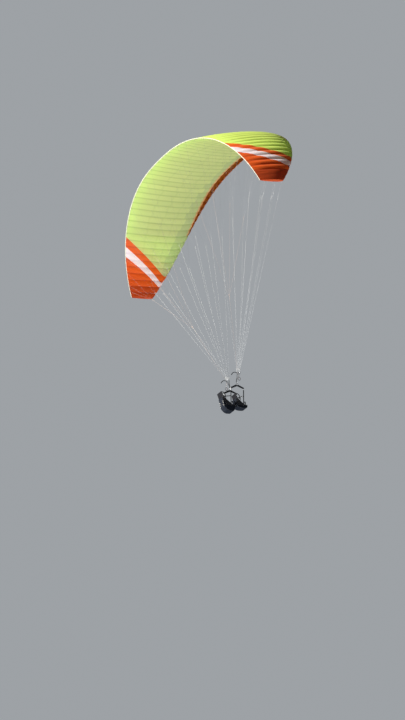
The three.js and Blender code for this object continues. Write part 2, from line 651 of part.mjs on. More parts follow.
// one harness hung from two carabiners; named by its seat. Its foam protector bulges behind the back
// and is deep under the seat
function harness(name, hangY, seatWidth, backHeight, lean, bulge, deep) {
  const seatZ = hangZ - seatDrop;
  const seatFront = hangY + seatShape.front;
  const seatBack = hangY - seatShape.back;
  const half = seatWidth / 2;
  const r = seatShape.corner;
  const seat = new THREE.Shape();
  seat.moveTo(-half + r, seatBack);
  seat.lineTo(half - r, seatBack);
  seat.quadraticCurveTo(half, seatBack, half, seatBack + r);
  seat.lineTo(half, seatFront - r);
  seat.quadraticCurveTo(half, seatFront, half - r, seatFront);
  seat.lineTo(-half + r, seatFront);
  seat.quadraticCurveTo(-half, seatFront, -half, seatFront - r);
  seat.lineTo(-half, seatBack + r);
  seat.quadraticCurveTo(-half, seatBack, -half + r, seatBack);
  const board = slab(seat, seatShape.thick, 3);
  board.translate(0, 0, seatZ - seatShape.thick);
  add(`${name}_seat`, board, colours.panel, cordRough);

  // back rest, leaning from the seat's rear edge
  const backFoot = [seatBack - pieceGap, seatZ - 20];
  const backAt = (h, off) => [backFoot[0] - lean * h - off, backFoot[1] + h];
  add(`${name}_back`, across([
    backAt(0, 0), backAt(backHeight * 0.5, 0), backAt(backHeight, 0), backAt(backHeight + 12, 14),
    backAt(backHeight, backThick - 4), backAt(backHeight * 0.5, backThick), backAt(0, backThick),
  ], seatWidth - 10), colours.harness, 0.85);

  // foam protector under the seat and behind the lower back
  const under = seatZ - seatShape.thick - pieceGap;
  const behind = backThick + pieceGap;
  add(`${name}_protector`, across([
    [seatFront - 6, under],
    [seatFront + 4, under - deep * 0.3],
    [seatFront - 24, under - deep * 0.78],
    [seatFront - 80, under - deep],
    [seatBack + 90, under - deep],
    [seatBack, under - deep * 0.8],
    [seatBack - bulge * 0.75, under - deep * 0.4],
    [seatBack - bulge, under - 10],
    backAt(backHeight * 0.3, behind + bulge * 0.44),
    backAt(backHeight * 0.55, behind + bulge * 0.31),
    backAt(backHeight * 0.62, behind + 6),
    backAt(backHeight * 0.6, behind),
    backAt(backHeight * 0.5, behind),
    backAt(0, behind),
    [backFoot[0] - behind, under],
    [seatBack + 10, under],
  ], seatWidth - 30), colours.pad, 0.9);

  for (const [side, mirror] of sides) {
    const x = mirror * carabinerX;
    const ring = ringPath(x, hangY, hangZ - hangHook.down, hangHook.half, hangHook.rise, hangHook.corner);
    add(`${name}_carabiner_${side}`, sweep(ring, round(hangHook.wire), sideY, true), colours.metal, 0.3, 0.9);
    // hang strap from the carabiner to the seat side, with a branch to the back
    const top = v(x, hangY, hangZ - 77);
    const below = v(x - mirror * 6, hangY, hangZ - 130);
    const edge = v(mirror * (half + 4), hangY - 4, seatZ + 6);
    const low = v(mirror * (half + 4), hangY - 4, seatZ - 24);
    const main = sweep([top, below, edge, low], flat(hangBand.width, hangBand.thick), sideY);
    const [backY, backZ] = backAt(backHeight * 0.62, 16);
    const branch = sweep([
      top.clone().lerp(edge, 0.42),
      v(mirror * (half + 3), backY + 60, backZ),
      v(mirror * (half - 2), backY + 12, backZ - 14),
    ], flat(hangBand.branchWidth, hangBand.branchThick), v(0, 0.3, 1));
    add(`${name}_hang_strap_${side}`, join([main, branch]), colours.riser, 0.85);
  }

  // shoulder straps with a chest strap between them
  const [tipY, tipZ] = backAt(backHeight - 20, 0);
  const [footY, footZ] = backAt(90, 0);
  const tilt = Math.hypot(1, lean);
  const straps = [];
  for (const [, mirror] of sides) {
    const x = mirror * shoulderBand.apart;
    const off = (y, z, d) => v(x, y + d / tilt, z + (lean * d) / tilt);
    straps.push(sweep([
      off(tipY, tipZ, pieceGap),
      off(tipY, tipZ, 14),
      v(x, tipY + 60, tipZ + 26),
      v(x, tipY + 130, tipZ - 30),
      v(x, tipY + shoulderBand.reach, tipZ - shoulderBand.chest),
      v(x, tipY + 160, tipZ - 240),
      v(x, footY + 70, footZ + 40),
      off(footY, footZ, 14),
      off(footY, footZ, pieceGap),
    ], flat(shoulderBand.width, shoulderBand.thick), sideX));
  }
  const { apart, reach, chest: drop } = shoulderBand;
  const chest = [-apart, apart].map((x) => v(x, tipY + reach, tipZ - drop));
  straps.push(sweep(chest, flat(chestBand.width, chestBand.thick), v(0, 0, 1)));
  add(`${name}_shoulder_straps`, join(straps), colours.riser, 0.85);

  // leg loops from the middle of the seat's front edge over each thigh to the seat's side
  const loops = [];
  const away = legBand.thick / 2 + legBand.gap;
  const route = [
    [20, away, -20], [20, away, 14], [44, -22, 112], [96, -66, 150],
    [half - 26, -88, 104], [half + away, -90, 8], [half + away, -90, -22],
  ];
  for (const [, mirror] of sides) {
    const knots = route.map(([x, y, z]) => v(mirror * x, seatFront + y, seatZ + z));
    const points = new THREE.CatmullRomCurve3(knots, false, "catmullrom", 0.5).getPoints(legBand.steps);
    // the band lies flat on the front edge, then turns to lie flat on the side
    const widths = points.map((p, i) => {
      const turn = (Math.PI / 2) * THREE.MathUtils.clamp((i / legBand.steps - 0.15) / 0.6, 0, 1);
      return v(mirror * Math.cos(turn), Math.sin(turn), 0);
    });
    loops.push(sweep(points, flat(legBand.width, legBand.thick), widths));
  }
  const bridge = new THREE.BoxGeometry(30, legBand.thick - 0.4, 20);
  bridge.translate(0, seatFront + away, seatZ - 8);
  loops.push(bridge);
  add(`${name}_leg_loops`, join(loops), colours.riser, 0.85);
}

harness("pilot", rearHangY, 370, 520, 0.28, 108, 230);
harness("passenger", frontHangY, 350, 470, 0.16, 81, 100);

skins.forEach((m) => {
  m.material.side = THREE.FrontSide;
});

export default part;
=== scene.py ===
import bpy
import math
import numpy as np
from mathutils import Matrix, Vector


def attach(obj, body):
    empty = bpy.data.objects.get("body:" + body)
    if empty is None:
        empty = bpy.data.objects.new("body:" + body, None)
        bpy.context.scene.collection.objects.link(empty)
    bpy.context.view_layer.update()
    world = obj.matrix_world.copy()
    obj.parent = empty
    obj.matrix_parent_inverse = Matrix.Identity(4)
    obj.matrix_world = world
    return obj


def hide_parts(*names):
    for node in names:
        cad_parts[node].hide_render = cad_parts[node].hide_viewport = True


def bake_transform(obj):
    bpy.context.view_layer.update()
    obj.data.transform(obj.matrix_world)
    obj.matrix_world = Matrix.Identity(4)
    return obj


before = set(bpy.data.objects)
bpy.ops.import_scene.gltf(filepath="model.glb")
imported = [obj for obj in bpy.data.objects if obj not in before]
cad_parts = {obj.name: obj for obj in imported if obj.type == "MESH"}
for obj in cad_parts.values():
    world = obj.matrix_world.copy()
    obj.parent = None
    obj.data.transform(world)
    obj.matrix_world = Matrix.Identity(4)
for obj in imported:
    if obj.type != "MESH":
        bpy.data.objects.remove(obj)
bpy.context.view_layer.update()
print("frame loaded:", len(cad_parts), "solids")

# camera: far below and to the right of the glider, looking up with a long lens
cameraSetup = {"aimPoint": (0.0, 0.0, -1.973), "aimPixel": (205.29, 209.07), "distance": 126.84,
               "focalPixels": 3354.3, "imageSize": (405, 720), "azimuth": 21.5, "elevation": 21.0,
               "turn": (0.0216, -0.0969, 0.0891), "sensor": 36, "clip": (1.0, 2000.0)}


def newObject(name, data):
    obj = bpy.data.objects.new(name, data)
    bpy.context.scene.collection.objects.link(obj)
    return obj


def viewAxes(setup):
    az, el = math.radians(setup["azimuth"]), math.radians(setup["elevation"])
    ahead = Vector((-math.cos(az) * math.cos(el), math.sin(az) * math.cos(el), math.sin(el)))
    right = ahead.cross(Vector((0, 0, 1))).normalized()
    turn = Vector(setup["turn"])
    return Matrix.Rotation(turn.length, 3, turn.normalized()) @ Matrix((right, right.cross(ahead), ahead))


def makeCamera(setup):
    right, up, ahead = [row.copy() for row in viewAxes(setup)]
    width, height = setup["imageSize"]
    # the lens axis turns until the aim point lies on its pixel
    offX, offY = width / 2 - setup["aimPixel"][0], setup["aimPixel"][1] - height / 2
    axis = (ahead * setup["focalPixels"] + right * offX + up * offY).normalized()
    newRight = (right - axis * right.dot(axis)).normalized()
    turned = Matrix((newRight, newRight.cross(axis), -axis)).transposed()
    data = bpy.data.cameras.new("viewer")
    data.lens = setup["focalPixels"] * setup["sensor"] / height
    data.sensor_width = setup["sensor"]
    data.clip_start, data.clip_end = setup["clip"]
    cam = newObject("viewer", data)
    cam.matrix_world = Matrix.LocRotScale(Vector(setup["aimPoint"]) - ahead * setup["distance"], turned, None)
    bpy.context.scene.camera = cam
    return cam


# material building blocks; most find their node tree from a socket that they are given
def node(tree, kind, inputs=None, **settings):
    made = tree.nodes.new(kind)
    for key, value in settings.items():
        setattr(made, key, value)
    for key, value in (inputs or {}).items():
        if hasattr(value, "is_output"):
            tree.links.new(value, made.inputs[key])
        else:
            made.inputs[key].default_value = (*value, 1) if made.inputs[key].type == "RGBA" else value
    return made


def maths(operation):
    def apply(a, b=0.0):
        tree = (a if hasattr(a, "is_output") else b).id_data
        return node(tree, "ShaderNodeMath", {0: a, 1: b}, operation=operation).outputs[0]
    return apply


plus, minus, times, over = [maths(name) for name in ("ADD", "SUBTRACT", "MULTIPLY", "DIVIDE")]
least, most, above, below = [maths(name) for name in ("MINIMUM", "MAXIMUM", "GREATER_THAN", "LESS_THAN")]
absolute, fraction, wholePart = [maths(name) for name in ("ABSOLUTE", "FRACT", "FLOOR")]
sine, toPower = maths("SINE"), maths("POWER")


def tint(base, share, colour):
    return node(share.id_data, "ShaderNodeMix", {0: share, 6: base, 7: colour}, data_type="RGBA").outputs[2]


def noise(coords, scale, detail, roughness=0.5):
    inputs = {"Vector": coords, "Scale": scale, "Detail": detail, "Roughness": roughness}
    return node(coords.id_data, "ShaderNodeTexNoise", inputs).outputs[0]


def waves(coords, scale, distortion, directions):
    inputs = {"Vector": coords, "Scale": scale, "Distortion": distortion}
    return [node(coords.id_data, "ShaderNodeTexWave", inputs, bands_direction=way).outputs[1]
            for way in directions]


def bumped(height, strength, distance):
    inputs = {"Strength": strength, "Distance": distance, "Height": height}
    return node(height.id_data, "ShaderNodeBump", inputs).outputs[0]


def principled(base, roughness, normal, sheen=0.0, specular=0.5, metallic=0.0):
    inputs = {"Base Color": base, "Roughness": roughness, "Normal": normal, "Sheen Weight": sheen,
              "Specular IOR Level": specular, "Metallic": metallic}
    return node(base.id_data, "ShaderNodeBsdfPrincipled", inputs).outputs[0]


def mapAxes(tree, name):
    uv = node(tree, "ShaderNodeUVMap", uv_map=name).outputs[0]
    return node(tree, "ShaderNodeSeparateXYZ", {0: uv}).outputs[:2]


def nearLine(value, place, halfWidth):
    return minus(1.0, least(over(absolute(minus(value, place)), halfWidth), 1.0))


# one material for each look; paint gives the shader that goes to the output
def makeMaterials(paint, ending, looks):
    made = {}
    for name, look in looks.items():
        mat = bpy.data.materials.new(name + ending)
        mat.use_nodes = True
        tree = mat.node_tree
        tree.nodes.clear()
        coords = node(tree, "ShaderNodeTexCoord").outputs["Object"]
        node(tree, "ShaderNodeOutputMaterial", {0: paint(tree, coords, look)})
        made[name] = mat
    return made


# studio: pale floor far below at the camera's feet, a key from high behind, a wide fill from under the wing
studio = {"floorDrop": 1.0, "floorRadius": 34.0, "floorSides": 96,
          "floorLook": {"colour": (0.78, 0.78, 0.77), "roughness": 0.9},
          "backdrop": (0.34, 0.36, 0.38), "skyColour": (0.78, 0.84, 0.92), "skyStrength": 0.11,
          "key": {"toward": (-0.18, -0.84, 0.52), "energy": 11.5, "color": (1.0, 0.97, 0.92),
                  "angle": math.radians(3.0)},
          "fill": {"toward": (0.12, -0.30, -0.93), "energy": 11000.0, "color": (0.96, 0.98, 1.0),
                   "shape": "DISK", "size": 26.0},
          "fillDistance": 34.0}


# a light's settings are named as Blender names them
def makeLight(name, kind, setup):
    data = bpy.data.lights.new(name, kind)
    for key, value in setup.items():
        if key != "toward":
            setattr(data, key, value)
    light = newObject(name, data)
    light.rotation_mode = "QUATERNION"
    light.rotation_quaternion = Vector(setup["toward"]).to_track_quat("Z", "Y")
    return light


def plainCoat(tree, coords, look):
    inputs = {"Base Color": look["colour"], "Roughness": look["roughness"]}
    return node(tree, "ShaderNodeBsdfPrincipled", inputs).outputs[0]


def makeStudio(setup):
    makeLight("keyLight", "SUN", setup["key"])
    fill = makeLight("fillLight", "AREA", setup["fill"])
    fill.location = Vector(setup["fill"]["toward"]).normalized() * setup["fillDistance"]
    fill.visible_camera = False
    world = bpy.data.worlds.new("studioSky")
    world.use_nodes = True
    tree = world.node_tree
    tree.nodes.clear()
    # the camera sees a plain backdrop; only the dimmer sky lights the wing
    seen = node(tree, "ShaderNodeLightPath").outputs["Is Camera Ray"]
    sky = node(tree, "ShaderNodeBackground", {0: setup["skyColour"], 1: setup["skyStrength"]}).outputs[0]
    backdrop = node(tree, "ShaderNodeBackground", {0: setup["backdrop"]}).outputs[0]
    chosen = node(tree, "ShaderNodeMixShader", {0: seen, 1: sky, 2: backdrop}).outputs[0]
    node(tree, "ShaderNodeOutputWorld", {0: chosen})
    bpy.context.scene.world = world
    bpy.context.scene.view_settings.view_transform = "Standard"
    radius, level, count = setup["floorRadius"], viewer.location.z - setup["floorDrop"], setup["floorSides"]
    ring = [(radius * math.cos(a), radius * math.sin(a), level)
            for a in np.linspace(0, 2 * math.pi, count, endpoint=False)]
    mesh = bpy.data.meshes.new("floor")
    mesh.from_pydata(ring, [], [list(range(count))])
    mesh.materials.append(makeMaterials(plainCoat, "Floor", {"pale": setup["floorLook"]})["pale"])
    newObject("floor", mesh)


viewer = makeCamera(cameraSetup)
makeStudio(studio)
print("camera and studio ready")


# coated cloth of the wing: cell seams along the chord darkened as painted shade, tape seams across it
# darkened partly as painted shadow of the inner ribs, painted shade from cell to cell, over the front part
# and over the end panels, ripstop grid, light through it
def ripstopCloth(tree, coords, look):
    look = {**clothBase, **look}
    cell, chord = mapAxes(tree, "wingMap")
    inCell = fraction(cell)
    # painted shade near each rib, standing for the shade between the swollen cells
    ribShadeMask = minus(1.0, least(times(least(inCell, minus(1.0, inCell)), look["ribSharpness"]), 1.0))
    step = node(tree, "ShaderNodeTexWhiteNoise", {"W": wholePart(cell)}, noise_dimensions="1D").outputs[0]
    # inner cross seams, darkened partly as seam tape and partly as painted shadow of the inner ribs, and a
    # painted shade over the front part, where the doubled nose cloth lets less light through, each stepping a
    # little from cell to cell
    shift = times(minus(step, 0.5), look["cellStep"])
    seamLines = [nearLine(plus(chord, shift), place, look["seamHalf"]) for place in look["seams"]]
    seams = seamLines[0]
    for line in seamLines[1:]:
        seams = most(seams, line)
    front = below(chord, plus(look["frontEdge"], times(shift, look["frontStep"])))
    # painted shade: the end panels beyond the last rib but two are darkened as if in shadow
    endShadeMask = above(absolute(minus(cell, look["middleCell"])), look["endCells"])
    cloudy = noise(coords, scale=0.9, detail=4.0, roughness=0.55)
    creases = noise(coords, scale=6.0, detail=5.0, roughness=0.6)
    base = tint(look["colour"], times(cloudy, look["clouds"]), look["deep"])
    base = tint(base, times(front, look["frontShare"]), look["front"])
    # painted shade toward the deep colour: a random amount in each cell for the uneven light through the
    # cells, near each rib, over the seams and over the end panels
    for share, key in ((step, "cell"), (ribShadeMask, "rib"), (seams, "seam"), (endShadeMask, "end")):
        base = tint(base, times(share, look[key + "Share"]), look["deep"])
    grid = most(*waves(coords, look["gridScale"], distortion=0.4, directions="XY"))
    base = tint(base, times(toPower(grid, 8.0), look["gridShare"]), look["deep"])
    normal = bumped(plus(times(creases, 0.6), times(grid, 0.05)), strength=0.35, distance=0.02)
    shader = principled(base, look["roughness"], normal, sheen=0.04, specular=0.3)
    glow = node(tree, "ShaderNodeBsdfTranslucent", {"Color": base, "Normal": normal}).outputs[0]
    return node(tree, "ShaderNodeMixShader", {0: look["glow"], 1: shader, 2: glow}).outputs[0]


# any value left out of a cloth is taken from here
clothBase = {"front": (0.6, 0.09, 0.02), "frontEdge": 0.05, "frontShare": 0.0, "ribShare": 0.5,
             "roughness": 0.5, "glow": 0.34, "seams": (0.5,), "seamShare": 0.0, "clouds": 0.25,
             "cellShare": 0.05, "endShare": 0.0, "ribSharpness": 6.0, "cellStep": 0.035, "seamHalf": 0.02,
             "frontStep": 1.6, "middleCell": 24.5, "endCells": 22.5, "gridScale": 38.0, "gridShare": 0.08}
# painted shade in each cloth: the front colour over the front part, and the rib, cell and end shares; the
# seam share is partly seam tape and partly painted shadow of the inner ribs
cloth = makeMaterials(ripstopCloth, "Ripstop", {
    "lime": {"colour": (0.69, 0.86, 0.17), "deep": (0.36, 0.60, 0.08), "front": (0.40, 0.55, 0.10),
             "frontShare": 0.3, "ribShare": 0.45, "cellShare": 0.06},
    "limeLower": {"colour": (0.70, 0.79, 0.36), "deep": (0.36, 0.49, 0.19), "front": (0.47, 0.57, 0.31),
                  "frontEdge": 0.22, "frontShare": 0.55, "ribShare": 0.55, "roughness": 0.6, "glow": 0.5,
                  "seams": (0.36, 0.52, 0.70), "seamShare": 0.14, "clouds": 0.2, "cellShare": 0.16},
    "orange": {"colour": (0.84, 0.135, 0.008), "deep": (0.42, 0.045, 0.010), "frontShare": 0.2,
               "glow": 0.32, "cellShare": 0.1, "endShare": 0.55},
    "white": {"colour": (0.90, 0.84, 0.86), "deep": (0.66, 0.58, 0.66), "front": (0.8, 0.72, 0.74),
              "frontShare": 0.2, "ribShare": 0.4, "clouds": 0.2},
    "peach": {"colour": (0.76, 0.52, 0.24), "deep": (0.60, 0.27, 0.10), "roughness": 0.55, "glow": 0.4,
              "clouds": 0.5, "cellShare": 0.5},
    "noseOrange": {"colour": (0.86, 0.24, 0.03), "deep": (0.42, 0.09, 0.014), "glow": 0.6, "clouds": 0.5,
                   "cellShare": 0.4},
    "hem": {"colour": (0.86, 0.86, 0.68), "deep": (0.70, 0.68, 0.48), "ribShare": 0.2, "glow": 0.3,
            "clouds": 0.1},
    "innerRib": {"colour": (0.70, 0.20, 0.03), "deep": (0.20, 0.05, 0.010), "ribShare": 0.2,
                 "roughness": 0.8, "glow": 0.5, "clouds": 0.7, "cellShare": 0.0}})
print("cloth materials ready")


# woven straps: fine cross ribs, a pale stitch line near each edge, slight fading; the map is in metres
def webbingStrap(tree, coords, look):
    across, along = mapAxes(tree, "strapMap")
    edge, weave = absolute(across), webbingWeave
    ribs = sine(times(plus(along, edge), weave["ribTurns"]))
    dash = above(sine(times(along, weave["stitchTurns"])), weave["dashGap"])
    sewn = times(times(nearLine(edge, look["stitchAt"], weave["stitchHalf"]), dash), look["stitchShare"])
    wear = noise(coords, scale=18.0, detail=5.0, roughness=0.6)
    base = tint(look["colour"], times(wear, weave["wear"]), look["faded"])
    base = tint(base, sewn, look["thread"])
    return principled(base, 0.8, bumped(ribs, strength=0.5, distance=0.0006), sheen=0.02, specular=0.16)


webbingWeave = {"ribTurns": 2100.0, "stitchTurns": 1250.0, "dashGap": -0.2, "stitchHalf": 0.0012, "wear": 0.6}
webbing = makeMaterials(webbingStrap, "Webbing", {
    "dark": {"colour": (0.010, 0.011, 0.013), "faded": (0.022, 0.022, 0.025), "thread": (0.20, 0.20, 0.20),
             "stitchAt": 0.0095, "stitchShare": 0.5},
    "grip": {"colour": (0.030, 0.026, 0.027), "faded": (0.060, 0.052, 0.052), "thread": (0.75, 0.16, 0.03),
             "stitchAt": 0.008, "stitchShare": 0.6},
    "grey": {"colour": (0.045, 0.047, 0.05), "faded": (0.09, 0.09, 0.09), "thread": (0.3, 0.3, 0.3),
             "stitchAt": 0.006, "stitchShare": 0.5},
    "pale": {"colour": (0.42, 0.41, 0.37), "faded": (0.30, 0.29, 0.26), "thread": (0.6, 0.6, 0.58),
             "stitchAt": 0.012, "stitchShare": 0.4}})


# padded cloth: basket weave, dusty wear in patches, soft folds
def paddedCloth(tree, coords, look):
    weave = times(*waves(coords, scale=120.0, distortion=0.6, directions="XZ"))
    dust = noise(coords, scale=9.0, detail=6.0, roughness=0.65)
    folds = noise(coords, scale=22.0, detail=3.0)
    base = tint(look["colour"], times(dust, 0.55), look["faded"])
    base = tint(base, times(weave, 0.25), look["thread"])
    normal = bumped(plus(times(folds, 4.0), times(weave, 0.5)), strength=0.4, distance=0.0015)
    return principled(base, look["roughness"], normal, sheen=0.02, specular=0.08)


# the pads are black cloth, made darker still as painted shade for the shade the harnesses hang in
padding = makeMaterials(paddedCloth, "Cordura", {
    "seat": {"colour": (0.006, 0.006, 0.009), "faded": (0.013, 0.014, 0.017),
             "thread": (0.026, 0.026, 0.03), "roughness": 0.85},
    "back": {"colour": (0.005, 0.005, 0.007), "faded": (0.011, 0.012, 0.015),
             "thread": (0.022, 0.022, 0.026), "roughness": 0.88},
    "bag": {"colour": (0.004, 0.006, 0.011), "faded": (0.009, 0.012, 0.019),
            "thread": (0.018, 0.022, 0.03), "roughness": 0.85},
    "panel": {"colour": (0.010, 0.011, 0.013), "faded": (0.022, 0.022, 0.025),
              "thread": (0.04, 0.04, 0.044), "roughness": 0.75}})


# braided line: two crossing strands wound round it
def braidedLine(tree, coords, look):
    around, along = mapAxes(tree, "strapMap")
    turn, twist = times(around, math.tau), times(along, look["twist"])
    strands = most(sine(plus(twist, turn)), sine(minus(twist, turn)))
    grime = noise(coords, scale=3.0, detail=4.0)
    base = tint(look["colour"], times(grime, 0.4), look["faded"])
    return principled(base, 0.6, bumped(strands, strength=0.4, distance=0.0004))


braid = makeMaterials(braidedLine, "Braid", {
    "main": {"colour": (0.46, 0.47, 0.47), "faded": (0.34, 0.34, 0.34), "twist": 900.0},
    "upper": {"colour": (0.32, 0.33, 0.34), "faded": (0.22, 0.22, 0.22), "twist": 900.0},
    "brake": {"colour": (0.42, 0.32, 0.27), "faded": (0.32, 0.24, 0.21), "twist": 900.0}})


# metal or moulded parts: fine scuffs and uneven polish
def hardPart(tree, coords, look):
    fine, wide = noise(coords, scale=220.0, detail=3.0), noise(coords, scale=12.0, detail=5.0)
    base = tint(look["colour"], times(wide, 0.5), look["worn"])
    rough = plus(look["roughness"], times(fine, 0.18))
    return principled(base, rough, bumped(fine, strength=0.15, distance=0.0005), metallic=look["metallic"])


hard = makeMaterials(hardPart, "Finish", {
    "steel": {"colour": (0.60, 0.61, 0.63), "worn": (0.42, 0.43, 0.45), "roughness": 0.32, "metallic": 1.0},
    "anodised": {"colour": (0.05, 0.052, 0.058), "worn": (0.13, 0.13, 0.14), "roughness": 0.35,
                 "metallic": 0.6},
    "plastic": {"colour": (0.018, 0.018, 0.020), "worn": (0.05, 0.05, 0.052), "roughness": 0.45,
                "metallic": 0.0}})
print("strap, padding, line and metal materials ready")

# the wing's plan, arc and section, in metres, as in the solids
wing = {"halfSpan": 7.3, "rootChord": 3.403, "noseSweep": 1.476, "nosePower": 3.79, "tailSweep": 1.023,
        "tailPower": 2.051, "arcAngle": 1.324, "arcPower": 1.55, "incidence": 0.048, "tipTwist": 0.023,
        "thickness": 0.152, "camber": 0.004, "tailHalf": 0.005, "cellsHalf": 24.5, "openRibs": 14,
        "topPuff": 0.17, "topSink": 0.5, "nosePuff": 0.07, "bottomPuff": 0.075, "calmFrom": 0.929,
        "calmTo": 0.941, "calmLeft": 0.1, "pleatHeight": 0.0035, "pleatFrom": 0.55, "pleatRun": 0.35,
        "lastRib": 24, "cellFade": 0.12, "archPower": 0.75, "tailFade": 0.3, "tailFadePower": 0.8,
        "noseFade": 0.06}
# colour bands as shares of the half span: at the trailing edge, near the nose on top, near the nose below
bandEdges = [(0.66, 0.837, 0.884), (0.718, 0.868, 0.917), (0.776, 0.906, 0.938)]
bands = {"topPower": 1.65, "lowPower": 1.35, "blend": 0.03}
sides = (("Right", 1), ("Left", -1))


def onBothSides(make, look):
    for sideName, mirror in sides:
        make(look, sideName, mirror)


# cells have one width at the middle and get narrower toward the tips
def ribShare(k):
    u = (np.asarray(k, float) + 0.5) / wing["cellsHalf"]
    return u * (1 + wing["cellFade"] - wing["cellFade"] * u * u)


ribShares = ribShare(np.arange(wing["lastRib"] + 1))
arcSteps = 2000
arcLean = wing["arcAngle"] * ((np.arange(arcSteps) + 0.5) / arcSteps) ** wing["arcPower"]
arcX = np.concatenate([[0], np.cumsum(np.cos(arcLean))]) * wing["halfSpan"] / arcSteps
arcZ = -np.concatenate([[0], np.cumsum(np.sin(arcLean))]) * wing["halfSpan"] / arcSteps


def stationAt(t):
    a = np.clip(np.abs(t), 0, 1)
    nose = wing["rootChord"] / 2 - wing["noseSweep"] * a ** wing["nosePower"]
    tail = -wing["rootChord"] / 2 + wing["tailSweep"] * a ** wing["tailPower"]
    grid = np.arange(arcSteps + 1) / arcSteps
    return {"x": np.interp(a, grid, arcX), "z": np.interp(a, grid, arcZ), "nose": nose,
            "chord": nose - tail, "lean": wing["arcAngle"] * a ** wing["arcPower"],
            "pitch": np.tan(wing["incidence"] + wing["tipTwist"] * a ** 2)}


# place in the cell (0 to 1), the cell's width and a running cell number along the span
def cellPlace(t):
    a, last = np.abs(t), wing["lastRib"]
    k = np.searchsorted(ribShares, a, side="right")
    low = np.where(k == 0, -ribShares[0], ribShares[np.clip(k - 1, 0, last)])
    high = ribShares[np.clip(k, 0, last)]
    share = np.clip((a - low) / np.maximum(high - low, 1e-9), 0, 1)
    index = np.where(t < 0, last + 1 - (k + share), last + k + share)
    return share, (high - low) * wing["halfSpan"], index


# one skin's height above the chord line, as a share of the chord
def profile(c, side):
    c = np.clip(c, 1e-9, 1)
    shape = 0.2969 * np.sqrt(c) - 0.126 * c - 0.3516 * c ** 2 + 0.2843 * c ** 3 - 0.1036 * c ** 4
    return 4 * wing["camber"] * c * (1 - c) + side * 5 * wing["thickness"] * shape


def skinPoints(t, c, side, puffScale=1.0, lift=0.0):
    s = stationAt(t)
    share, width, index = cellPlace(t)
    puffC = np.minimum(1, (1 - c) / wing["tailFade"]) ** wing["tailFadePower"]
    arch = (4 * share * (1 - share)) ** wing["archPower"]
    # small pleats run forward from the trailing edge inside each cell
    ripple = np.sin(share * 4 * np.pi + np.floor(index) * 1.7) * np.sin(np.pi * share)
    pleat = wing["pleatHeight"] * ripple * np.clip((c - wing["pleatFrom"]) / wing["pleatRun"], 0, 1)
    fade = np.clip(c / wing["noseFade"], 0, 1)
    full, sink = wing["bottomPuff"], 0.0
    if side > 0:
        # the ribs of the top sit a little low, so that the swollen cells keep the wing's outline,
        # and the last cells form one smooth panel at the tip
        calm = np.clip((np.abs(t) - wing["calmFrom"]) / (wing["calmTo"] - wing["calmFrom"]), 0, 1)
        full = wing["topPuff"] * (1 - (1 - wing["calmLeft"]) * calm)
        sink = wing["topSink"] * fade
    swell = wing["nosePuff"] + (full - wing["nosePuff"]) * fade
    grow = puffScale * (width * (arch - sink) * puffC * swell + pleat) + lift
    before, after = np.maximum(c - 1e-4, 1e-7), c + 1e-4
    slope = (profile(after, side) - profile(before, side)) / (after - before)
    size = np.hypot(slope, 1)
    back = c * s["chord"] - side * slope / size * grow
    up = s["chord"] * profile(c, side) + side * wing["tailHalf"] * c + side / size * grow
    y = s["nose"] - back
    off = y * s["pitch"] + up
    x = np.sign(t + 1e-12) * (s["x"] + np.sin(s["lean"]) * off)
    return np.stack([x, y, s["z"] + np.cos(s["lean"]) * off], -1)


# one grid of points as a chunk of mesh, with its map coordinates
def gridChunk(points, u, v, turned=False):
    shape = points.shape[:2]
    index = np.arange(points.size // 3).reshape(shape)
    quads = np.stack([index[:-1, :-1], index[:-1, 1:], index[1:, 1:], index[1:, :-1]], -1).reshape(-1, 4)
    uv = np.stack([np.broadcast_to(u, shape), np.broadcast_to(v, shape)], -1)
    return points.reshape(-1, 3), quads[:, ::-1] if turned else quads, uv.reshape(-1, 2)


def meshPiece(name, chunks, mat, mapName="strapMap"):
    points, quads, uvs = zip(*chunks)
    starts = np.cumsum([0] + [len(chunk) for chunk in points[:-1]])
    quads = np.concatenate([chunk + start for chunk, start in zip(quads, starts)])
    mesh = bpy.data.meshes.new(name)
    mesh.from_pydata(np.concatenate(points).tolist(), [], quads.tolist())
    layer = mesh.uv_layers.new(name=mapName)
    layer.data.foreach_set("uv", np.concatenate(uvs)[quads.ravel()].ravel())
    mesh.shade_smooth()
    mesh.materials.append(mat)
    return newObject(name, mesh)


# a cloth piece with its lengths along the shaped cloth, hung on its body
def clothPiece(name, points, cell, chord, mat, slotName, turned=True, body="wing",
               restsOn=("lines_a_left", "lines_a_right")):
    obj = meshPiece(name, [gridChunk(points, cell, chord, turned)], mat, "wingMap")
    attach(obj, body)
    return obj


def skinPiece(name, t, c, side, clothName, slotName, mirror=1):
    return clothPiece(name, skinPoints(t, c, side), cellPlace(t)[2], c, cloth[clothName], slotName,
                      side * mirror > 0)


def ribPiece(name, t, rows, steps, cell, clothName, turned=True):
    full, u = np.full(len(rows), t), steps[:, None, None]
    points = skinPoints(full, rows, 1)[None] * (1 - u) + skinPoints(full, rows, -1)[None] * u
    clothPiece(name, points, cell, rows, cloth[clothName], "ripstop_orange", turned)


# share of the half span where a band's edge crosses chord share c; the two skins' edges meet at the nose
def bandShare(edge, c, side):
    tail, topNose, lowNose = edge
    nose, power = (lowNose, bands["lowPower"]) if side < 0 else (topNose, bands["topPower"])
    middle = (topNose + lowNose) / 2
    return tail + (nose - tail) * (1 - c ** power) + (middle - nose) * np.exp(-c / bands["blend"])


def chordRows(start, end, count):
    return start + (end - start) * np.linspace(0, 1, count) ** canopyLook["crowding"]


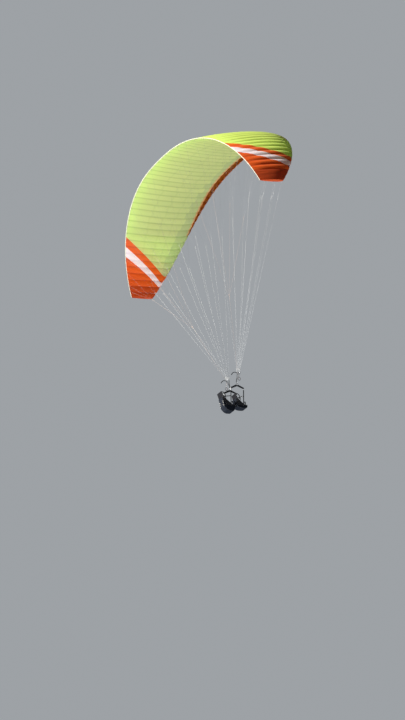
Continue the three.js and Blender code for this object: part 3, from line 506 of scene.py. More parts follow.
canopyLook = {"rowsUpper": 64, "rowsLower": 60, "columnsPerCell": 9, "outerColumns": 74, "bandColumns": 20,
              "stripeColumns": 26, "tipColumns": 84, "noseRows": 12, "lipRows": 6, "noseWrap": 0.035,
              "mouthStart": 0.012, "noseDepth": 0.018, "mouthDepth": 0.113, "mouthFade": 0.70,
              "mouthLeast": 0.03, "lipDepth": 0.024, "hemStart": 0.992, "hemLift": 0.0012, "hemColumns": 6,
              "ribRows": 26, "ribEnd": 0.9, "crowding": 1.7, "topCrowding": 1.3}


# chord share where a mouth starts and where it ends, less towards the tips, and the end of the lip behind it
def mouthTaper(t):
    return 1 - (t / canopyLook["mouthFade"]) ** 2


def noseEnd(t):
    return canopyLook["mouthStart"] + canopyLook["noseDepth"] * mouthTaper(t)


def mouthEnd(t):
    depth = canopyLook["mouthStart"] + canopyLook["mouthDepth"] * mouthTaper(t)
    return np.maximum(canopyLook["mouthLeast"], depth)


def lipEnd(t):
    return mouthEnd(t) + canopyLook["lipDepth"]


upperRows, closedRows = [chordRows(0.0, 1.0, canopyLook[key]) for key in ("rowsUpper", "rowsLower")]
middleRibs = ribShares[:wing["openRibs"] + 1]
openRibShares = np.concatenate([-middleRibs[::-1], middleRibs])
allRibShares = np.concatenate([-ribShares[::-1], ribShares])


def spanShares(ribs, perCell):
    parts = [np.linspace(low, high, perCell, endpoint=False) for low, high in zip(ribs[:-1], ribs[1:])]
    return np.concatenate(parts + [[ribs[-1]]])


def makeCentre(look):
    wrap, across = look["noseWrap"], spanShares(openRibShares, look["columnsPerCell"])[None, :]
    even, nose = np.linspace(0, 1, look["rowsLower"]), np.linspace(0, 1, look["noseRows"]) ** look["crowding"]
    top, lip = np.linspace(0, 1, look["rowsUpper"]) ** look["topCrowding"], np.linspace(0, 1, look["lipRows"])
    parts = (("TopCentre", 1, wrap, 1.0, top, "lime", "ripstop_lime"),
             ("LowerCentre", -1, lipEnd(across), 1.0, even, "limeLower", "ripstop_lime"),
             ("NoseTop", 1, 0.0, wrap, nose, "noseOrange", "ripstop_orange"),
             ("NoseLower", -1, 0.0, noseEnd(across), nose[::2], "noseOrange", "ripstop_orange"),
             ("MouthLip", -1, mouthEnd(across), lipEnd(across), lip, "peach", "ripstop_orange"))
    for name, side, start, end, steps, clothName, slotName in parts:
        c = start + (end - start) * steps[:, None] + 0 * across
        skinPiece("canopy" + name, across + 0 * c, c, side, clothName, slotName)
    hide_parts("canopy_centre", "canopy_inner_left",
                "canopy_inner_right")


def makeSide(look, sideName, mirror):
    for skin, rows, face in (("Top", upperRows, 1), ("Lower", closedRows, -1)):
        edges = [np.full(len(rows), middleRibs[-1])] + [bandShare(edge, rows, face) for edge in bandEdges]
        edges.append(np.ones(len(rows)))
        parts = (("Outer", "lime" if face > 0 else "limeLower", "ripstop_lime"),
                 ("Band", "orange", "ripstop_orange"), ("Stripe", "white", "ripstop_white"),
                 ("Tip", "orange", "ripstop_orange"))
        for (part, clothName, slotName), low, high in zip(parts, edges, edges[1:]):
            u = np.linspace(0, 1, look[part.lower() + "Columns"] + 1)[None, :]
            t = (low[:, None] + (high - low)[:, None] * u) * mirror
            c = rows[:, None] * np.ones_like(u)
            obj = skinPiece("canopy" + part + skin + sideName, t, c, face, clothName, slotName, mirror)
            if face > 0:
                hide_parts("canopy_%s_%s" % (part.lower(), sideName.lower()))
    # end rib that closes the tip
    ribPiece("canopyEndRib" + sideName, mirror * 1.0, closedRows, np.linspace(0, 1, 8), 48.5, "orange",
             mirror > 0)


# pale binding folded round the trailing edge
def makeHem(look):
    t = spanShares(allRibShares, look["hemColumns"])
    turns = ((look["hemStart"], 1), (1.0, 1), (1.0, -1), (look["hemStart"], -1))
    points = np.stack([skinPoints(t, np.full(len(t), c), side, lift=look["hemLift"]) for c, side in turns])
    clothPiece("trailingHem", points, cellPlace(t)[2], 0.9, cloth["hem"], "ripstop_white")


# ribs seen through the mouths
def makeRibs(look):
    rows = chordRows(0.0, look["ribEnd"], look["ribRows"])
    for i, t in enumerate(openRibShares):
        ribPiece("canopyRib%02d" % i, t, rows, np.linspace(0.02, 0.98, 5), 0.5, "innerRib")


makeCentre(canopyLook)
onBothSides(makeSide, canopyLook)
makeHem(canopyLook)
makeRibs(canopyLook)
print("canopy made")

acrossX, aheadY, upZ = np.eye(3)


def at(x, y, z):
    return np.array([x, y, z], float)


def unit(v):
    return v / np.maximum(np.linalg.norm(v, axis=-1, keepdims=True), 1e-12)


# sweeps: a section carried along a path, its first axis kept near the given side direction
def roundSection(radius, count=10):
    a = 2 * np.pi * (np.arange(count + 1) + 0.5) / count
    return np.stack([radius * np.cos(a), radius * np.sin(a)], -1)


def flatSection(width, thick, corner=0.35):
    w, h = width / 2, thick / 2
    r = thick * corner
    corners = ((w - r, h - r, 0), (-w + r, h - r, 90), (-w + r, -h + r, 180), (w - r, -h + r, 270))
    points = [(x + r * math.cos(math.radians(a + d)), y + r * math.sin(math.radians(a + d)))
              for x, y, a in corners for d in (0, 45, 90)]
    return np.array(points + points[:1])


def smoothPath(points, steps=6, closed=False):
    p = np.asarray(points, float)
    if closed:
        p = np.concatenate([p[-1:], p, p[:2]])
    else:
        p = np.concatenate([2 * p[:1] - p[1:2], p, 2 * p[-1:] - p[-2:-1]])
    out = []
    for a, b, c, d in zip(p[:-3], p[1:-2], p[2:-1], p[3:]):
        for u in np.arange(steps) / steps:
            bend = (2 * a - 5 * b + 4 * c - d) * u ** 2 + (3 * b - a - 3 * c + d) * u ** 3
            out.append(0.5 * (2 * b + (c - a) * u + bend))
    return np.array(out if closed else out + [p[-2]])


def sweepChunk(path, section, side, closed=False, around=False):
    path = np.asarray(path, float)
    if closed:
        before, after = np.roll(path, 1, 0), np.roll(path, -1, 0)
    else:
        before, after = np.vstack([path[:1], path[:-1]]), np.vstack([path[1:], path[-1:]])
    along = unit(unit(path - before) + unit(after - path))
    side = np.broadcast_to(np.asarray(side, float), path.shape)
    first = unit(side - along * (side * along).sum(-1, keepdims=True))
    second = np.cross(along, first)
    rows = path[:, None] + first[:, None] * section[None, :, :1] + second[:, None] * section[None, :, 1:]
    metres = np.concatenate([[0], np.cumsum(np.linalg.norm(np.diff(path, axis=0), axis=-1))])
    if closed:
        rows = np.concatenate([rows, rows[:1]])
        metres = np.append(metres, metres[-1] + np.linalg.norm(path[0] - path[-1]))
    else:
        first, last = [np.broadcast_to(row.mean(0), rows[:1].shape) for row in (rows[0], rows[-1])]
        rows = np.concatenate([first, rows, last])
        metres = np.concatenate([metres[:1], metres, metres[-1:]])
    share = np.linspace(0, 1, len(section)) if around else section[:, 0]
    return gridChunk(rows, share, metres[:, None])


def strapChunk(path, width, thick, side, corner=0.35):
    return sweepChunk(path, flatSection(width, thick, corner), side)


def ringChunk(path, radius, count, side):
    return sweepChunk(path, roundSection(radius, count), side, closed=True, around=True)


def ovalPath(centre, wide, high, count):
    a = np.linspace(0, 2 * math.pi, count, endpoint=False)
    return centre + np.stack([wide * np.cos(a), 0 * a, high * np.sin(a)], -1)


def linePiece(a, b, radius, count=6):
    side = aheadY if abs(b[0] - a[0]) > 0.8 * np.linalg.norm(b - a) else acrossX
    return sweepChunk([a, b], roundSection(radius, count), side, around=True)


# a short rod through a point, reaching the same way to both sides
def rodPiece(centre, reach, radius, count):
    return linePiece(centre - reach, centre + reach, radius, count)


def addPiece(name, chunks, mat, body, slotName, *nodes):
    obj = meshPiece(name, chunks, mat)
    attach(obj, body)
    if nodes:
        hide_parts(*nodes)
    return obj


# where the lines, risers, bars and seats sit, in metres, as in the solids
rig = {"riserX": 0.455, "riserTopZ": -8.665, "riserTopY": {"a": 0.322, "b": 0.267, "c": 0.210},
       "carabinerX": 0.300, "pivotY": 0.215, "pivotZ": -9.165, "rearHangY": -0.060, "frontHangY": 0.460,
       "hangZ": -9.275, "seatDrop": 0.600, "pulley": (0.0168, 0.004, -0.118)}
lineSet = {"rowChord": {"a": 0.10, "b": 0.29, "c": 0.56}, "rowRise": 0.009,
           "ribs": ((1, 3, 5), (7, 9, 11), (13, 15, 17), (19, 21, 23)), "junctions": (0.70, 0.76, 0.80, 0.86),
           "brakeRibs": ((2, 4, 6), (8, 10, 12), (14, 16, 18), (20, 22, 23)), "brakeChord": 0.985,
           "brakeRise": (1.150, -0.530, 2.600), "brakeShare": 0.62, "mainRadius": 0.0020,
           "upperRadius": 0.0010, "mainSplice": (0.0030, 0.11), "upperSplice": (0.0018, 0.08),
           "mainPitch": 0.0064, "upperPitch": 0.0056, "tabWidth": 0.014, "tabThick": 0.0016,
           "tabLength": 0.035, "collarHalf": 0.014, "collarRadius": 0.005}


def clothPoint(k, chord, mirror):
    return skinPoints(np.array([float(ribShare(k)) * mirror]), np.array([chord]), -1, puffScale=0.0)[0]


def splice(a, b, size):
    return linePiece(a, a + unit(b - a) * size[1], size[0])


def pulleyPlace(mirror):
    x, y, z = rig["pulley"]
    return at(mirror * (rig["riserX"] + x), rig["riserTopY"]["c"] + y, rig["riserTopZ"] + z)


# mains from the riser link to the junctions, three uppers from each junction to the cloth
def lineFan(low, groups, chord, shares, mirror, setup, pitch):
    mains, uppers, splices, tabs = [], [], [], []
    for m, (ribs, share) in enumerate(zip(groups, shares)):
        ends = [clothPoint(k, chord, mirror) for k in ribs]
        junction = low + (np.mean(ends, axis=0) - low) * share
        start = low + acrossX * mirror * pitch * (m - 1.5)
        mains.append(linePiece(start, junction, setup["mainRadius"]))
        splices += [splice(a, b, setup["mainSplice"]) for a, b in ((junction, start), (start, junction))]
        for i, end in enumerate(ends):
            foot = junction + acrossX * mirror * setup["upperPitch"] * (i - 1)
            stop = end - unit(end - foot) * setup["tabLength"]
            uppers.append(linePiece(foot, stop, setup["upperRadius"]))
            splices.append(splice(foot, end, setup["upperSplice"]))
            tabs.append(strapChunk([stop, end], setup["tabWidth"], setup["tabThick"], aheadY))
    return mains + splices, uppers, tabs


def makeLines(setup, sideName, mirror):
    tabs = []
    for row, chord in setup["rowChord"].items():
        low = at(mirror * rig["riserX"], rig["riserTopY"][row], rig["riserTopZ"] + setup["rowRise"])
        mains, uppers, rowTabs = lineFan(low, setup["ribs"], chord, setup["junctions"], mirror, setup,
                                         setup["mainPitch"])
        collar = rodPiece(low, acrossX * setup["collarHalf"], setup["collarRadius"], 10)
        addPiece("linesMain" + row.upper() + sideName, mains + [collar], braid["main"], "wing",
                 "line_cord", "lines_%s_%s" % (row, sideName.lower()))
        addPiece("linesUpper" + row.upper() + sideName, uppers, braid["upper"], "wing", "line_cord")
        tabs += rowTabs
    pulley = pulleyPlace(mirror)
    low = pulley + at(*setup["brakeRise"]) * (mirror, 1, 1)
    mains, uppers, rowTabs = lineFan(low, setup["brakeRibs"], setup["brakeChord"],
                                     [setup["brakeShare"]] * 4, mirror, setup, setup["upperPitch"])
    lead = [linePiece(pulley + upZ * 0.014, low, setup["mainRadius"]),
            splice(low, pulley, setup["mainSplice"])]
    addPiece("linesBrakeMain" + sideName, mains + lead, braid["brake"], "wing", "line_cord",
             "brake_lines_" + sideName.lower())
    addPiece("linesBrakeUpper" + sideName, uppers, braid["upper"], "wing", "line_cord")
    addPiece("lineTabs" + sideName, tabs + rowTabs, webbing["pale"], "wing", "line_cord")


onBothSides(makeLines, lineSet)
print("lines made")

# risers: three straps a side, folded round the links, sewn into one foot at the main carabiner;
# a fold is given by its radius, width, thickness and overlap
riserLook = {"width": 0.024, "thick": 0.0032, "strapDrop": 0.0412, "foldDrop": 0.038, "bendDrop": 0.080,
             "fold": (0.0045, 0.013, 0.0022, 0.075), "tacks": (0.2, 0.5), "tackHalf": 0.012,
             "footRise": 0.1063, "footFold": (0.0075, 0.022, 0.003, 0.030), "block": (0.045, 0.022, -0.001),
             "trimWidth": 0.026, "trimThick": 0.0030, "trimTwist": 0.4, "buckleX": 0.016, "buckleZ": 0.013,
             "trimLine": ((0, 0), (-0.060, 0.026), (-0.130, 0.026), (-0.200, -0.014), (-0.250, -0.084))}


# strap end folded over a rod at centre and sewn back on itself
def sewnLoop(centre, down, radius, width, thick, overlap, side):
    out = np.cross(unit(down), unit(side))
    turn = [centre + out * radius * math.cos(a) - down * radius * math.sin(a)
            for a in np.linspace(0, math.pi, 9)]
    start, stop = [centre + down * overlap + out * thick * share for share in (0.55, -0.55)]
    return strapChunk([start] + turn + [stop], width, thick, side)


def makeRisers(setup, sideName, mirror):
    x, topZ, middle = mirror * rig["riserX"], rig["riserTopZ"], rig["riserTopY"]["b"]
    width, thick = setup["width"], setup["thick"]
    foot = at(mirror * rig["carabinerX"], rig["pivotY"], rig["pivotZ"] + setup["footRise"])
    chunks, tacks = [], []
    for y in rig["riserTopY"].values():
        bend = at(x, y, topZ - setup["bendDrop"])
        low = foot + at(0, (y - middle) * 0.12, 0.060)
        strapLine = [at(x, y, topZ - setup["strapDrop"]), bend, low, foot + at(0, (y - middle) * 0.06, 0)]
        chunks += [strapChunk(smoothPath(strapLine, 8), width, thick, acrossX),
                   sewnLoop(at(x, y, topZ - setup["foldDrop"]), -upZ, *setup["fold"], acrossX)]
        for share in setup["tacks"]:
            place, half = bend + (low - bend) * share, unit(bend - low) * setup["tackHalf"]
            tacks.append(strapChunk([place + half, place - half], width + 0.001, thick + 0.0022, acrossX))
    block = [foot + upZ * rise for rise in setup["block"]]
    chunks += [strapChunk(block, 0.026, 0.015, acrossX, 0.25),
               sewnLoop(foot - upZ * 0.0063, upZ, *setup["footFold"], acrossX)]
    addPiece("riserStraps" + sideName, chunks, webbing["dark"], "wing", "webbing_dark",
             "risers_" + sideName.lower())
    addPiece("riserBarTacks" + sideName, tacks, webbing["grey"], "wing", "webbing_dark")
    trimTop = at(x, rig["riserTopY"]["c"] - 0.0005, topZ - 0.076)
    trim = smoothPath([trimTop + at(0, y, z) for y, z in setup["trimLine"]], 6)
    # the loose tail turns on its side as it leaves the buckle
    turn = math.pi / 2 * np.clip(np.linspace(0, 1, len(trim)) / setup["trimTwist"], 0, 1)
    wide = np.stack([np.cos(turn), 0 * turn, np.sin(turn)], -1)
    tail = strapChunk(trim, setup["trimWidth"], setup["trimThick"], wide)
    addPiece("trimTail" + sideName, [tail], webbing["dark"], "wing", "webbing_dark")
    buckle = trimTop + at(0, 0.0045, -0.012)
    rim = ringChunk(ovalPath(buckle, setup["buckleX"], setup["buckleZ"], 24), 0.0022, 8, aheadY)
    bar = rodPiece(buckle, acrossX * 0.015, 0.0018, 8)
    addPiece("trimBuckle" + sideName, [rim, bar], hard["steel"], "wing", "steel_bright")


# metal: links, carabiners with a gate sleeve, pulleys and the two bars; a carabiner is given by its half
# width, top, bottom and corner radius, then by its wire radius and the gate's place outward, low and high end
metalLook = {"main": ((0.020, 0.088, 0.012, 0.012), 0.0050, 0.032, 0.034, 0.072),
             "hang": ((0.014, -0.010, -0.062, 0.010), 0.0045, 0.024, -0.052, -0.020),
             "sleeveRadius": 0.0072, "linkWide": 0.011, "linkHigh": 0.019, "linkRadius": 0.0026,
             "nutRadius": 0.0042, "nutHalf": 0.006,
             "pulleyTurned": ((0.002, -0.0044), (0.0125, -0.0042), (0.0130, -0.0036), (0.0105, -0.0012),
                              (0.0100, 0.0), (0.0105, 0.0012), (0.0130, 0.0036), (0.0125, 0.0042),
                              (0.002, 0.0044))}


def ringPath(centre, halfX, topZ, lowZ, corner):
    corners = ((halfX, topZ, 0), (-halfX, topZ, 90), (-halfX, lowZ, 180), (halfX, lowZ, 270))
    return [centre + at(x + corner * math.cos(a), 0, z + corner * math.sin(a))
            for x, z, start in corners for a in np.radians(start + np.linspace(0, 90, 9))]


def carabiner(name, centre, mirror, look, body, nodeName, sleeveRadius):
    shape, radius, out, low, high = look
    gate = centre + acrossX * mirror * out
    ridges = np.linspace(low + 0.004, high - 0.004, 6)
    spans = [(low, high, 0.0)] + [(z - 0.001, z + 0.001, 0.0007) for z in ridges]
    sleeve = [linePiece(gate + upZ * a, gate + upZ * b, sleeveRadius + extra, 16) for a, b, extra in spans]
    ring = ringChunk(ringPath(centre, *shape), radius, 14, aheadY)
    addPiece(name, [ring], hard["steel"], body, "steel_bright", nodeName)
    addPiece(name + "Sleeve", sleeve, hard["anodised"], body, "plastic_dark")


def makeMetal(setup, sideName, mirror):
    lower = sideName.lower()
    for row, y in rig["riserTopY"].items():
        centre = at(mirror * rig["riserX"], y, rig["riserTopZ"] - setup["linkHigh"])
        path = ovalPath(centre, setup["linkWide"], setup["linkHigh"], 40)
        nut = rodPiece(centre + acrossX * mirror * setup["linkWide"], upZ * setup["nutHalf"],
                       setup["nutRadius"], 6)
        addPiece("link" + row.upper() + sideName, [ringChunk(path, setup["linkRadius"], 12, aheadY), nut],
                 hard["steel"], "wing", "steel_bright", "link_%s_%s" % (row, lower))
    hooks = (("main", "main", rig["pivotY"], rig["pivotZ"], "wing"),
             ("pilot", "hang", rig["rearHangY"], rig["hangZ"], "pilot_harness"),
             ("passenger", "hang", rig["frontHangY"], rig["hangZ"], "passenger_harness"))
    for name, look, y, z, body in hooks:
        carabiner(name + "Carabiner" + sideName, at(mirror * rig["carabinerX"], y, z), mirror,
                  setup[look], body, "%s_carabiner_%s" % (name, lower), setup["sleeveRadius"])
    # pulley with cheeks and a groove, below the top of the rear riser
    p, turns = pulleyPlace(mirror), np.linspace(0, 2 * math.pi, 33)
    points = np.array([[p + at(h, r * math.cos(a), r * math.sin(a)) for a in turns]
                       for r, h in setup["pulleyTurned"]])
    addPiece("pulleyWheel" + sideName, [gridChunk(points, 0, 0)], hard["plastic"], "wing", "plastic_dark",
             "pulley_" + lower)
    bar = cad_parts["spreader_" + lower].data
    bar.materials.clear()
    bar.materials.append(hard["anodised"])


# brake handles: a webbing grip with a swivel, and the line from the pulley down to it
handleLook = {"outX": 0.110, "drop": 0.150, "ringY": 0.042, "ringZ": 0.062, "ringDrop": 0.070,
              "width": 0.022, "thick": 0.007, "lineRadius": 0.0022,
              "swivel": ((-0.012, 0.010, 0.006), (0.010, 0.013, 0.0035), (0.013, 0.030, 0.006))}


def makeHandles(setup, sideName, mirror):
    body = sideName.lower() + "_brake_handle"
    pulley = pulleyPlace(mirror)
    top = at(mirror * (rig["riserX"] + setup["outX"]), pulley[1], pulley[2] - setup["drop"])
    turns = np.linspace(0, 2 * math.pi, 48, endpoint=False)
    path = np.stack([0 * turns, setup["ringY"] * np.sin(turns) * (1.1 - 0.1 * np.cos(turns)),
                     setup["ringZ"] * np.cos(turns) - setup["ringDrop"]], -1) + top
    grip = sweepChunk(path, flatSection(setup["width"], setup["thick"]), acrossX, closed=True)
    wrap = strapChunk(path[16:33], setup["width"] + 0.003, setup["thick"] + 0.004, acrossX)
    addPiece("brakeGrip" + sideName, [grip], webbing["grip"], body, "webbing_grip",
             "brake_handle_" + sideName.lower())
    addPiece("brakeGripPad" + sideName, [wrap], webbing["dark"], body, "webbing_dark")
    swivel = [linePiece(top + upZ * low, top + upZ * high, radius, 16)
              for low, high, radius in setup["swivel"]]
    addPiece("brakeSwivel" + sideName, swivel, hard["steel"], body, "steel_bright")
    start, end = pulley - upZ * 0.0130, top + upZ * 0.028
    steps = [start + (end - start) * u for u in np.linspace(0, 1, 24)]
    runLine = sweepChunk(steps, roundSection(setup["lineRadius"], 8), acrossX, around=True)
    run = meshPiece("brakeRun" + sideName, [runLine], braid["brake"])
    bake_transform(run)


onBothSides(makeRisers, riserLook)
onBothSides(makeMetal, metalLook)
onBothSides(makeHandles, handleLook)
print("risers, metal and handles made")

harnessLook = {"frontReach": 0.165, "rearReach": 0.175, "seatThick": 0.026, "shoulderX": 0.112,
               "strapWidth": 0.030, "strapThick": 0.003, "padWidth": 0.046, "padThick": 0.009,
               "legThick": 0.004, "legGap": 0.0005, "cornerCut": 0.012, "seamHalf": 0.006,
               "buckleWire": 0.0022, "hangFold": (0.0068, 0.026, 0.003, 0.050)}
harnesses = {"pilot": {"hangY": rig["rearHangY"], "seatWidth": 0.370, "backHeight": 0.520, "lean": 0.28,
                       "bulge": 0.108, "deep": 0.230},
             "passenger": {"hangY": rig["frontHangY"], "seatWidth": 0.350, "backHeight": 0.470,
                           "lean": 0.16, "bulge": 0.081, "deep": 0.100}}
padLooks = {"Seat": {"around": 120, "across": 44, "edge": 0.010, "crown": 0.0, "crease": 0.0004, "seed": 3,
                     "seamDepth": 0.003, "seamsAcross": (-0.45, 0.0, 0.45), "seamsUp": (), "narrower": 0.0,
                     "look": "seat", "slot": "seat_cloth"},
            "Back": {"around": 150, "across": 44, "edge": 0.012, "crown": 0.0, "crease": 0.0006, "seed": 5,
                     "seamDepth": 0.004, "seamsAcross": (-0.5, 0.5), "seamsUp": (0.14, 0.26, 0.38),
                     "narrower": 0.010, "look": "back", "slot": "harness_cloth"},
            "Protector": {"around": 170, "across": 40, "edge": 0.016, "crown": 0.002, "crease": 0.0010,
                          "seed": 8, "seamDepth": 0.004, "seamsAcross": (-0.72, 0.72), "seamsUp": (0.12,),
                          "narrower": 0.030, "look": "bag", "slot": "protector_cloth"}}
tabLook = {"width": 0.020, "thick": 0.0025, "out": 0.0015, "length": 0.040, "inset": 0.048,
           "rises": (0.1, 0.6, 0.95)}


def roundCorners(points, times=3):
    p = np.asarray(points, float)
    for _ in range(times):
        after = np.roll(p, -1, 0)
        length = np.linalg.norm(after - p, axis=-1, keepdims=True)
        cut = np.minimum(0.25, harnessLook["cornerCut"] / np.maximum(length, 1e-6))
        p = np.stack([p + (after - p) * cut, after - (after - p) * cut], 1).reshape(-1, 2)
    return p


def evenLoop(points, count):
    p = np.vstack([points, points[:1]])
    run = np.concatenate([[0], np.cumsum(np.linalg.norm(np.diff(p, axis=0), axis=-1))])
    marks = np.linspace(0, run[-1], count, endpoint=False)
    return np.stack([np.interp(marks, run, p[:, 0]), np.interp(marks, run, p[:, 1])], -1), marks


# a padded form: an outline in the side plane carried across the width, its ends rounded, quilted and creased
def padChunk(outline, width, setup):
    loop, marks = evenLoop(roundCorners(outline), setup["around"])
    along = unit(np.roll(loop, -1, 0) - np.roll(loop, 1, 0))
    area = np.sum(loop[:, 0] * np.roll(loop[:, 1], -1) - np.roll(loop[:, 0], -1) * loop[:, 1])
    out = np.stack([along[:, 1], -along[:, 0]], -1) * (1 if area > 0 else -1)
    half, r, seamHalf = width / 2, setup["edge"], harnessLook["seamHalf"]
    inner = np.linspace(-half + r, half - r, setup["across"])
    bend = np.linspace(0, math.pi / 2, 7)[1:]
    xs = np.concatenate([-half + r - r * np.sin(bend[::-1]), inner, half - r + r * np.sin(bend)])
    inset = np.concatenate([r - r * np.cos(bend[::-1]), np.zeros(len(inner)), r - r * np.cos(bend)])
    height = loop[:, 1] - loop[:, 1].min()
    rows = []
    random = np.random.default_rng(setup["seed"])
    ripples = [(random.uniform(14, 46), random.uniform(10, 40), random.uniform(0, 6.28)) for _ in range(6)]
    for x, d in zip(xs, inset):
        flatPart = max(0.0, 1 - d / r) ** 0.5
        crown = setup["crown"] * (1 - (x / half) ** 2)
        seams = [math.exp(-((x - place * half) / seamHalf) ** 2) for place in setup["seamsAcross"]]
        seams += [np.exp(-((height - low) / seamHalf) ** 2) for low in setup["seamsUp"]]
        crease = sum(np.sin(a * x + b * marks + c) for a, b, c in ripples) - 3
        depth = crown - setup["seamDepth"] * sum(seams) + setup["crease"] * crease
        ring = loop + out * (depth * flatPart - d)[:, None]
        rows.append(np.column_stack([np.full(len(ring), x), ring]))
    ends = [[ring.mean(0) + (ring - ring.mean(0)) * share for share in (0.0, 0.2, 0.6)]
            for ring in (rows[0], rows[-1])]
    points = np.array(ends[0] + rows + ends[1][::-1])
    points = np.concatenate([points, points[:, :1]], 1)
    return gridChunk(points, points[..., 0], np.append(marks, marks[-1] + 0.003), area >= 0)


# the places that one harness is worked out from: hang point, seat, back and the outlines of its three pads
def harnessPlaces(setup):
    look, hangY, half, tall = harnessLook, setup["hangY"], setup["seatWidth"] / 2, setup["backHeight"]
    bulge, deep = setup["bulge"], setup["deep"]
    seatZ = rig["hangZ"] - rig["seatDrop"]
    front, rear = hangY + look["frontReach"], hangY - look["rearReach"]
    footY, footZ = rear - 0.0003, seatZ - 0.020

    def backAt(h, off=0.0):
        return footY - setup["lean"] * h - off, footZ + h

    seatLow = seatZ - look["seatThick"]
    seatLine = [(rear, seatLow), (front, seatLow), (front, seatZ), (rear, seatZ)]
    backLine = [backAt(0), backAt(tall * 0.5), backAt(tall), backAt(tall + 0.012, 0.014),
                backAt(tall, 0.030), backAt(tall * 0.5, 0.034), backAt(0, 0.034)]
    under = seatLow - 0.0003
    lowRear, highRear = (rear - bulge, under - 0.010), backAt(tall * 0.3, 0.0343 + bulge * 0.44)
    bagLine = [(front - 0.006, under), (front + 0.004, under - deep * 0.3),
               (front - 0.024, under - deep * 0.78), (front - 0.080, under - deep),
               (rear + 0.090, under - deep), (rear, under - deep * 0.8),
               (rear - bulge * 0.75, under - deep * 0.4), lowRear, highRear,
               backAt(tall * 0.55, 0.0343 + bulge * 0.31), backAt(tall * 0.62, 0.0403),
               backAt(tall * 0.6, 0.0343), backAt(tall * 0.5, 0.0343), backAt(0, 0.0343),
               (footY - 0.0343, under), (rear + 0.010, under)]
    return {"hangY": hangY, "half": half, "tall": tall, "seatZ": seatZ, "front": front, "rear": rear,
            "backAt": backAt, "lean": setup["lean"], "Seat": seatLine, "Back": backLine,
            "Protector": bagLine, "zip": (np.array(lowRear), np.array(highRear))}


# rectangular frame with a middle bar, lying on a strap that is as wide as across
def slideBuckle(centre, along, across, width, height):
    across = unit(across - along * np.dot(across, along))
    wide, high, wire = across * width / 2, along * height / 2, harnessLook["buckleWire"]
    corners = [centre + wide * a + high * b for a, b in ((1, 1), (-1, 1), (-1, -1), (1, -1))]
    normal = np.cross(across, along)
    bar = sweepChunk([centre - wide, centre + wide], roundSection(wire, 8), normal, around=True)
    return [ringChunk(smoothPath(corners, 5, closed=True), wire, 8, normal), bar]


def pipingChunk(outline, x, inset, radius):
    loop = evenLoop(roundCorners(outline), 110)[0]
    path = np.column_stack([np.full(len(loop), x), loop + unit(loop.mean(0) - loop) * inset])
    return ringChunk(path, radius, 8, acrossX)


def makePads(name, body, places):
    half = places["half"]
    for part, look in padLooks.items():
        chunk = padChunk(places[part], 2 * half - look["narrower"], look)
        obj = addPiece(name + part, [chunk], padding[look["look"]], body, look["slot"],
                       "%s_%s" % (name, part.lower()))
    edgings = (("Protector", 0.021, 0.004, 0.0026), ("Back", 0.009, 0.003, 0.0022))
    piping = [pipingChunk(places[part], m * (half - inside), inset, radius)
              for part, inside, inset, radius in edgings for m in (-1, 1)]
    addPiece(name + "Piping", piping, webbing["grey"], body, "harness_cloth")
    # zip across the rear of the protector
    low, high = places["zip"]
    zipY, zipZ = low + (high - low) * 0.35 - np.array([0.002, 0.0])
    zipLine = [at(x, zipY, zipZ) for x in np.linspace(-half + 0.05, half - 0.05, 12)]
    zipTape = strapChunk(zipLine, 0.012, 0.003, at(0, 0.25, 1))
    addPiece(name + "Zip", [zipTape], webbing["grey"], body, "webbing_dark")


# pale tabs at both sides of the rear bag, one above the other
def bagTabs(name, body, places, look):
    low, high = places["zip"]
    along = unit(high - low)
    rear = np.array([-along[1], along[0]])
    rear = rear if rear[0] < 0 else -rear
    tabs = []
    for rise in look["rises"]:
        y, z = low + (high - low) * rise + rear * look["out"]
        for mirror in (-1, 1):
            x = mirror * (places["half"] - look["inset"])
            ends = [at(x + side * look["length"] / 2, y, z) for side in (-1, 1)]
            tabs.append(strapChunk(ends, look["width"], look["thick"], at(0, *along)))
    addPiece(name + "BagTabs", tabs, webbing["pale"], body, "webbing_dark")


# strap from the carabiner to the seat's side, with a branch to the back
def hangStrap(name, body, places, sideName, mirror):
    half, seatZ, hangY, hangZ = places["half"], places["seatZ"], places["hangY"], rig["hangZ"]
    x = mirror * rig["carabinerX"]
    top = at(x, hangY, hangZ - 0.077)
    edge, low = [at(mirror * (half + 0.004), hangY - 0.004, seatZ + rise) for rise in (0.006, -0.024)]
    path = smoothPath([top, at(x - mirror * 0.006, hangY, hangZ - 0.130), edge, low], 10)
    start = top + (edge - top) * 0.42
    backY, backZ = places["backAt"](places["tall"] * 0.62, 0.016)
    stop = at(mirror * (half - 0.002), backY + 0.012, backZ - 0.014)
    bend, branchSide = at(mirror * (half + 0.003), backY + 0.060, backZ), at(0, 0.3, 1)
    chunks = [strapChunk(path, 0.038, 0.0035, aheadY),
              sewnLoop(top + upZ * 0.005, -upZ, *harnessLook["hangFold"], aheadY),
              strapChunk(smoothPath([start, bend, stop], 8), 0.030, 0.003, branchSide)]
    addPiece(name + "HangStrap" + sideName, chunks, webbing["dark"], body, "webbing_dark",
             "%s_hang_strap_%s" % (name, sideName.lower()))
    cover = strapChunk([start, start + (edge - start) * 0.06], 0.040, 0.0062, aheadY)
    return cover, slideBuckle(start + (bend - start) * 0.45, unit(bend - start), branchSide, 0.036, 0.026)


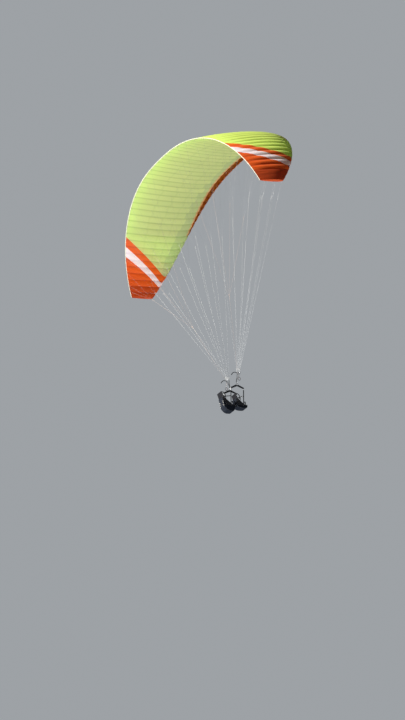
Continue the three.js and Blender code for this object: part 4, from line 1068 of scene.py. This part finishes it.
# cloth panel stretched between the seat's side and the back
def sidePanel(name, body, places, sideName, mirror):
    half, seatZ = places["half"], places["seatZ"]
    corners = [at(mirror * (half - 0.001), places["front"] - 0.10, seatZ - 0.010),
               at(mirror * (half - 0.001), places["rear"] + 0.004, seatZ - 0.010),
               at(mirror * (half - 0.003), *places["backAt"](places["tall"] * 0.60, 0.002)),
               at(mirror * (half - 0.002), places["hangY"] - 0.03, seatZ + 0.075)]
    steps = np.meshgrid(np.linspace(0, 1, 14), np.linspace(0, 1, 12), indexing="ij")
    u, v = [grid[..., None] for grid in steps]
    points = (corners[0] * (1 - u) + corners[1] * u) * (1 - v) + (corners[3] * (1 - u) + corners[2] * u) * v
    points = points + acrossX * mirror * 0.010 * np.sin(np.pi * u) * np.sin(np.pi * v)
    clothPiece(name + "SidePanel" + sideName, points, *steps, padding["panel"], "harness_cloth", body=body,
               restsOn=(name + "Seat", name + "Back"))


# shoulder strap with a padded upper half and a buckle under it
def shoulderStrap(places, mirror):
    look, backAt, lean = harnessLook, places["backAt"], places["lean"]
    sx = mirror * look["shoulderX"]
    tip, foot = backAt(places["tall"] - 0.020), backAt(0.090)

    def off(point, d):
        return at(sx, point[0] + d / math.hypot(1, lean), point[1] + lean * d / math.hypot(1, lean))

    bends = ((0.060, 0.026), (0.130, -0.030), (0.168, -0.140), (0.160, -0.240))
    line = [off(tip, 0.0003), off(tip, 0.014)] + [at(sx, tip[0] + y, tip[1] + z) for y, z in bends]
    line += [at(sx, foot[0] + 0.070, foot[1] + 0.040), off(foot, 0.014), off(foot, 0.0003)]
    smooth = smoothPath(line, 6)
    strap = strapChunk(smooth, look["strapWidth"], look["strapThick"], acrossX)
    pad = strapChunk(smooth[9:31], look["padWidth"], look["padThick"], acrossX, 0.48)
    return strap, pad, slideBuckle(smooth[34], unit(smooth[35] - smooth[33]), acrossX, 0.036, 0.026)


# leg loop from the middle of the seat's front edge over the thigh to the seat's side
def legLoop(places, mirror):
    look, half = harnessLook, places["half"]
    away = look["legThick"] / 2 + look["legGap"]
    route = ((0.020, away, -0.020), (0.020, away, 0.014), (0.044, -0.022, 0.112), (0.096, -0.066, 0.150),
             (half - 0.026, -0.088, 0.104), (half + away, -0.090, 0.008), (half + away, -0.090, -0.022))
    band = smoothPath([at(mirror * a, places["front"] + b, places["seatZ"] + c) for a, b, c in route], 6)
    # the band lies flat on the front edge, then turns to lie flat on the side
    turn = math.pi / 2 * np.clip((np.linspace(0, 1, len(band)) - 0.15) / 0.6, 0, 1)
    wide = np.stack([mirror * np.cos(turn), np.sin(turn), 0 * turn], -1)
    strap = strapChunk(band, look["strapWidth"], look["strapThick"], wide)
    pad = strapChunk(band[12:29], 0.042, 0.008, wide[12:29], 0.48)
    return strap, pad, slideBuckle(band[9], unit(band[10] - band[8]), wide[9], 0.036, 0.024)


def makeHarness(name, setup):
    body, look = name + "_harness", harnessLook
    places = harnessPlaces(setup)
    makePads(name, body, places)
    if name == "pilot":
        bagTabs(name, body, places, tabLook)
    dark, grey, metal = [], [], []
    for sideName, mirror in sides:
        cover, buckle = hangStrap(name, body, places, sideName, mirror)
        grey.append(cover)
        metal += buckle
        sidePanel(name, body, places, sideName, mirror)
        for strap, pad, buckle in (shoulderStrap(places, mirror), legLoop(places, mirror)):
            dark.append(strap)
            grey.append(pad)
            metal += buckle
    tipY, tipZ = places["backAt"](places["tall"] - 0.020)
    chestY, chestZ, reach = tipY + 0.168, tipZ - 0.140, look["shoulderX"]
    chestLine = [at(x, chestY, chestZ) for x in (-reach, -0.02, 0.02, reach)]
    bridgeY = places["front"] + look["legThick"] / 2 + look["legGap"]
    bridge = [at(x, bridgeY, places["seatZ"] - 0.008) for x in (-0.018, 0.018)]
    dark += [strapChunk(chestLine, 0.024, 0.0026, upZ), strapChunk(bridge, 0.020, 0.0034, upZ)]
    addPiece(name + "BodyStraps", dark, webbing["dark"], body, "webbing_dark", name + "_shoulder_straps",
             name + "_leg_loops")
    pads = addPiece(name + "StrapPads", grey, padding["panel"], body, "harness_cloth")
    clip = strapChunk([at(x, chestY + 0.001, chestZ) for x in (-0.026, 0.026)], 0.030, 0.009, upZ, 0.4)
    addPiece(name + "ChestClip", [clip], hard["plastic"], body, "plastic_dark")
    addPiece(name + "Buckles", metal, hard["steel"], body, "steel_bright")


for harnessName, harnessSetup in harnesses.items():
    makeHarness(harnessName, harnessSetup)
print("harnesses made")
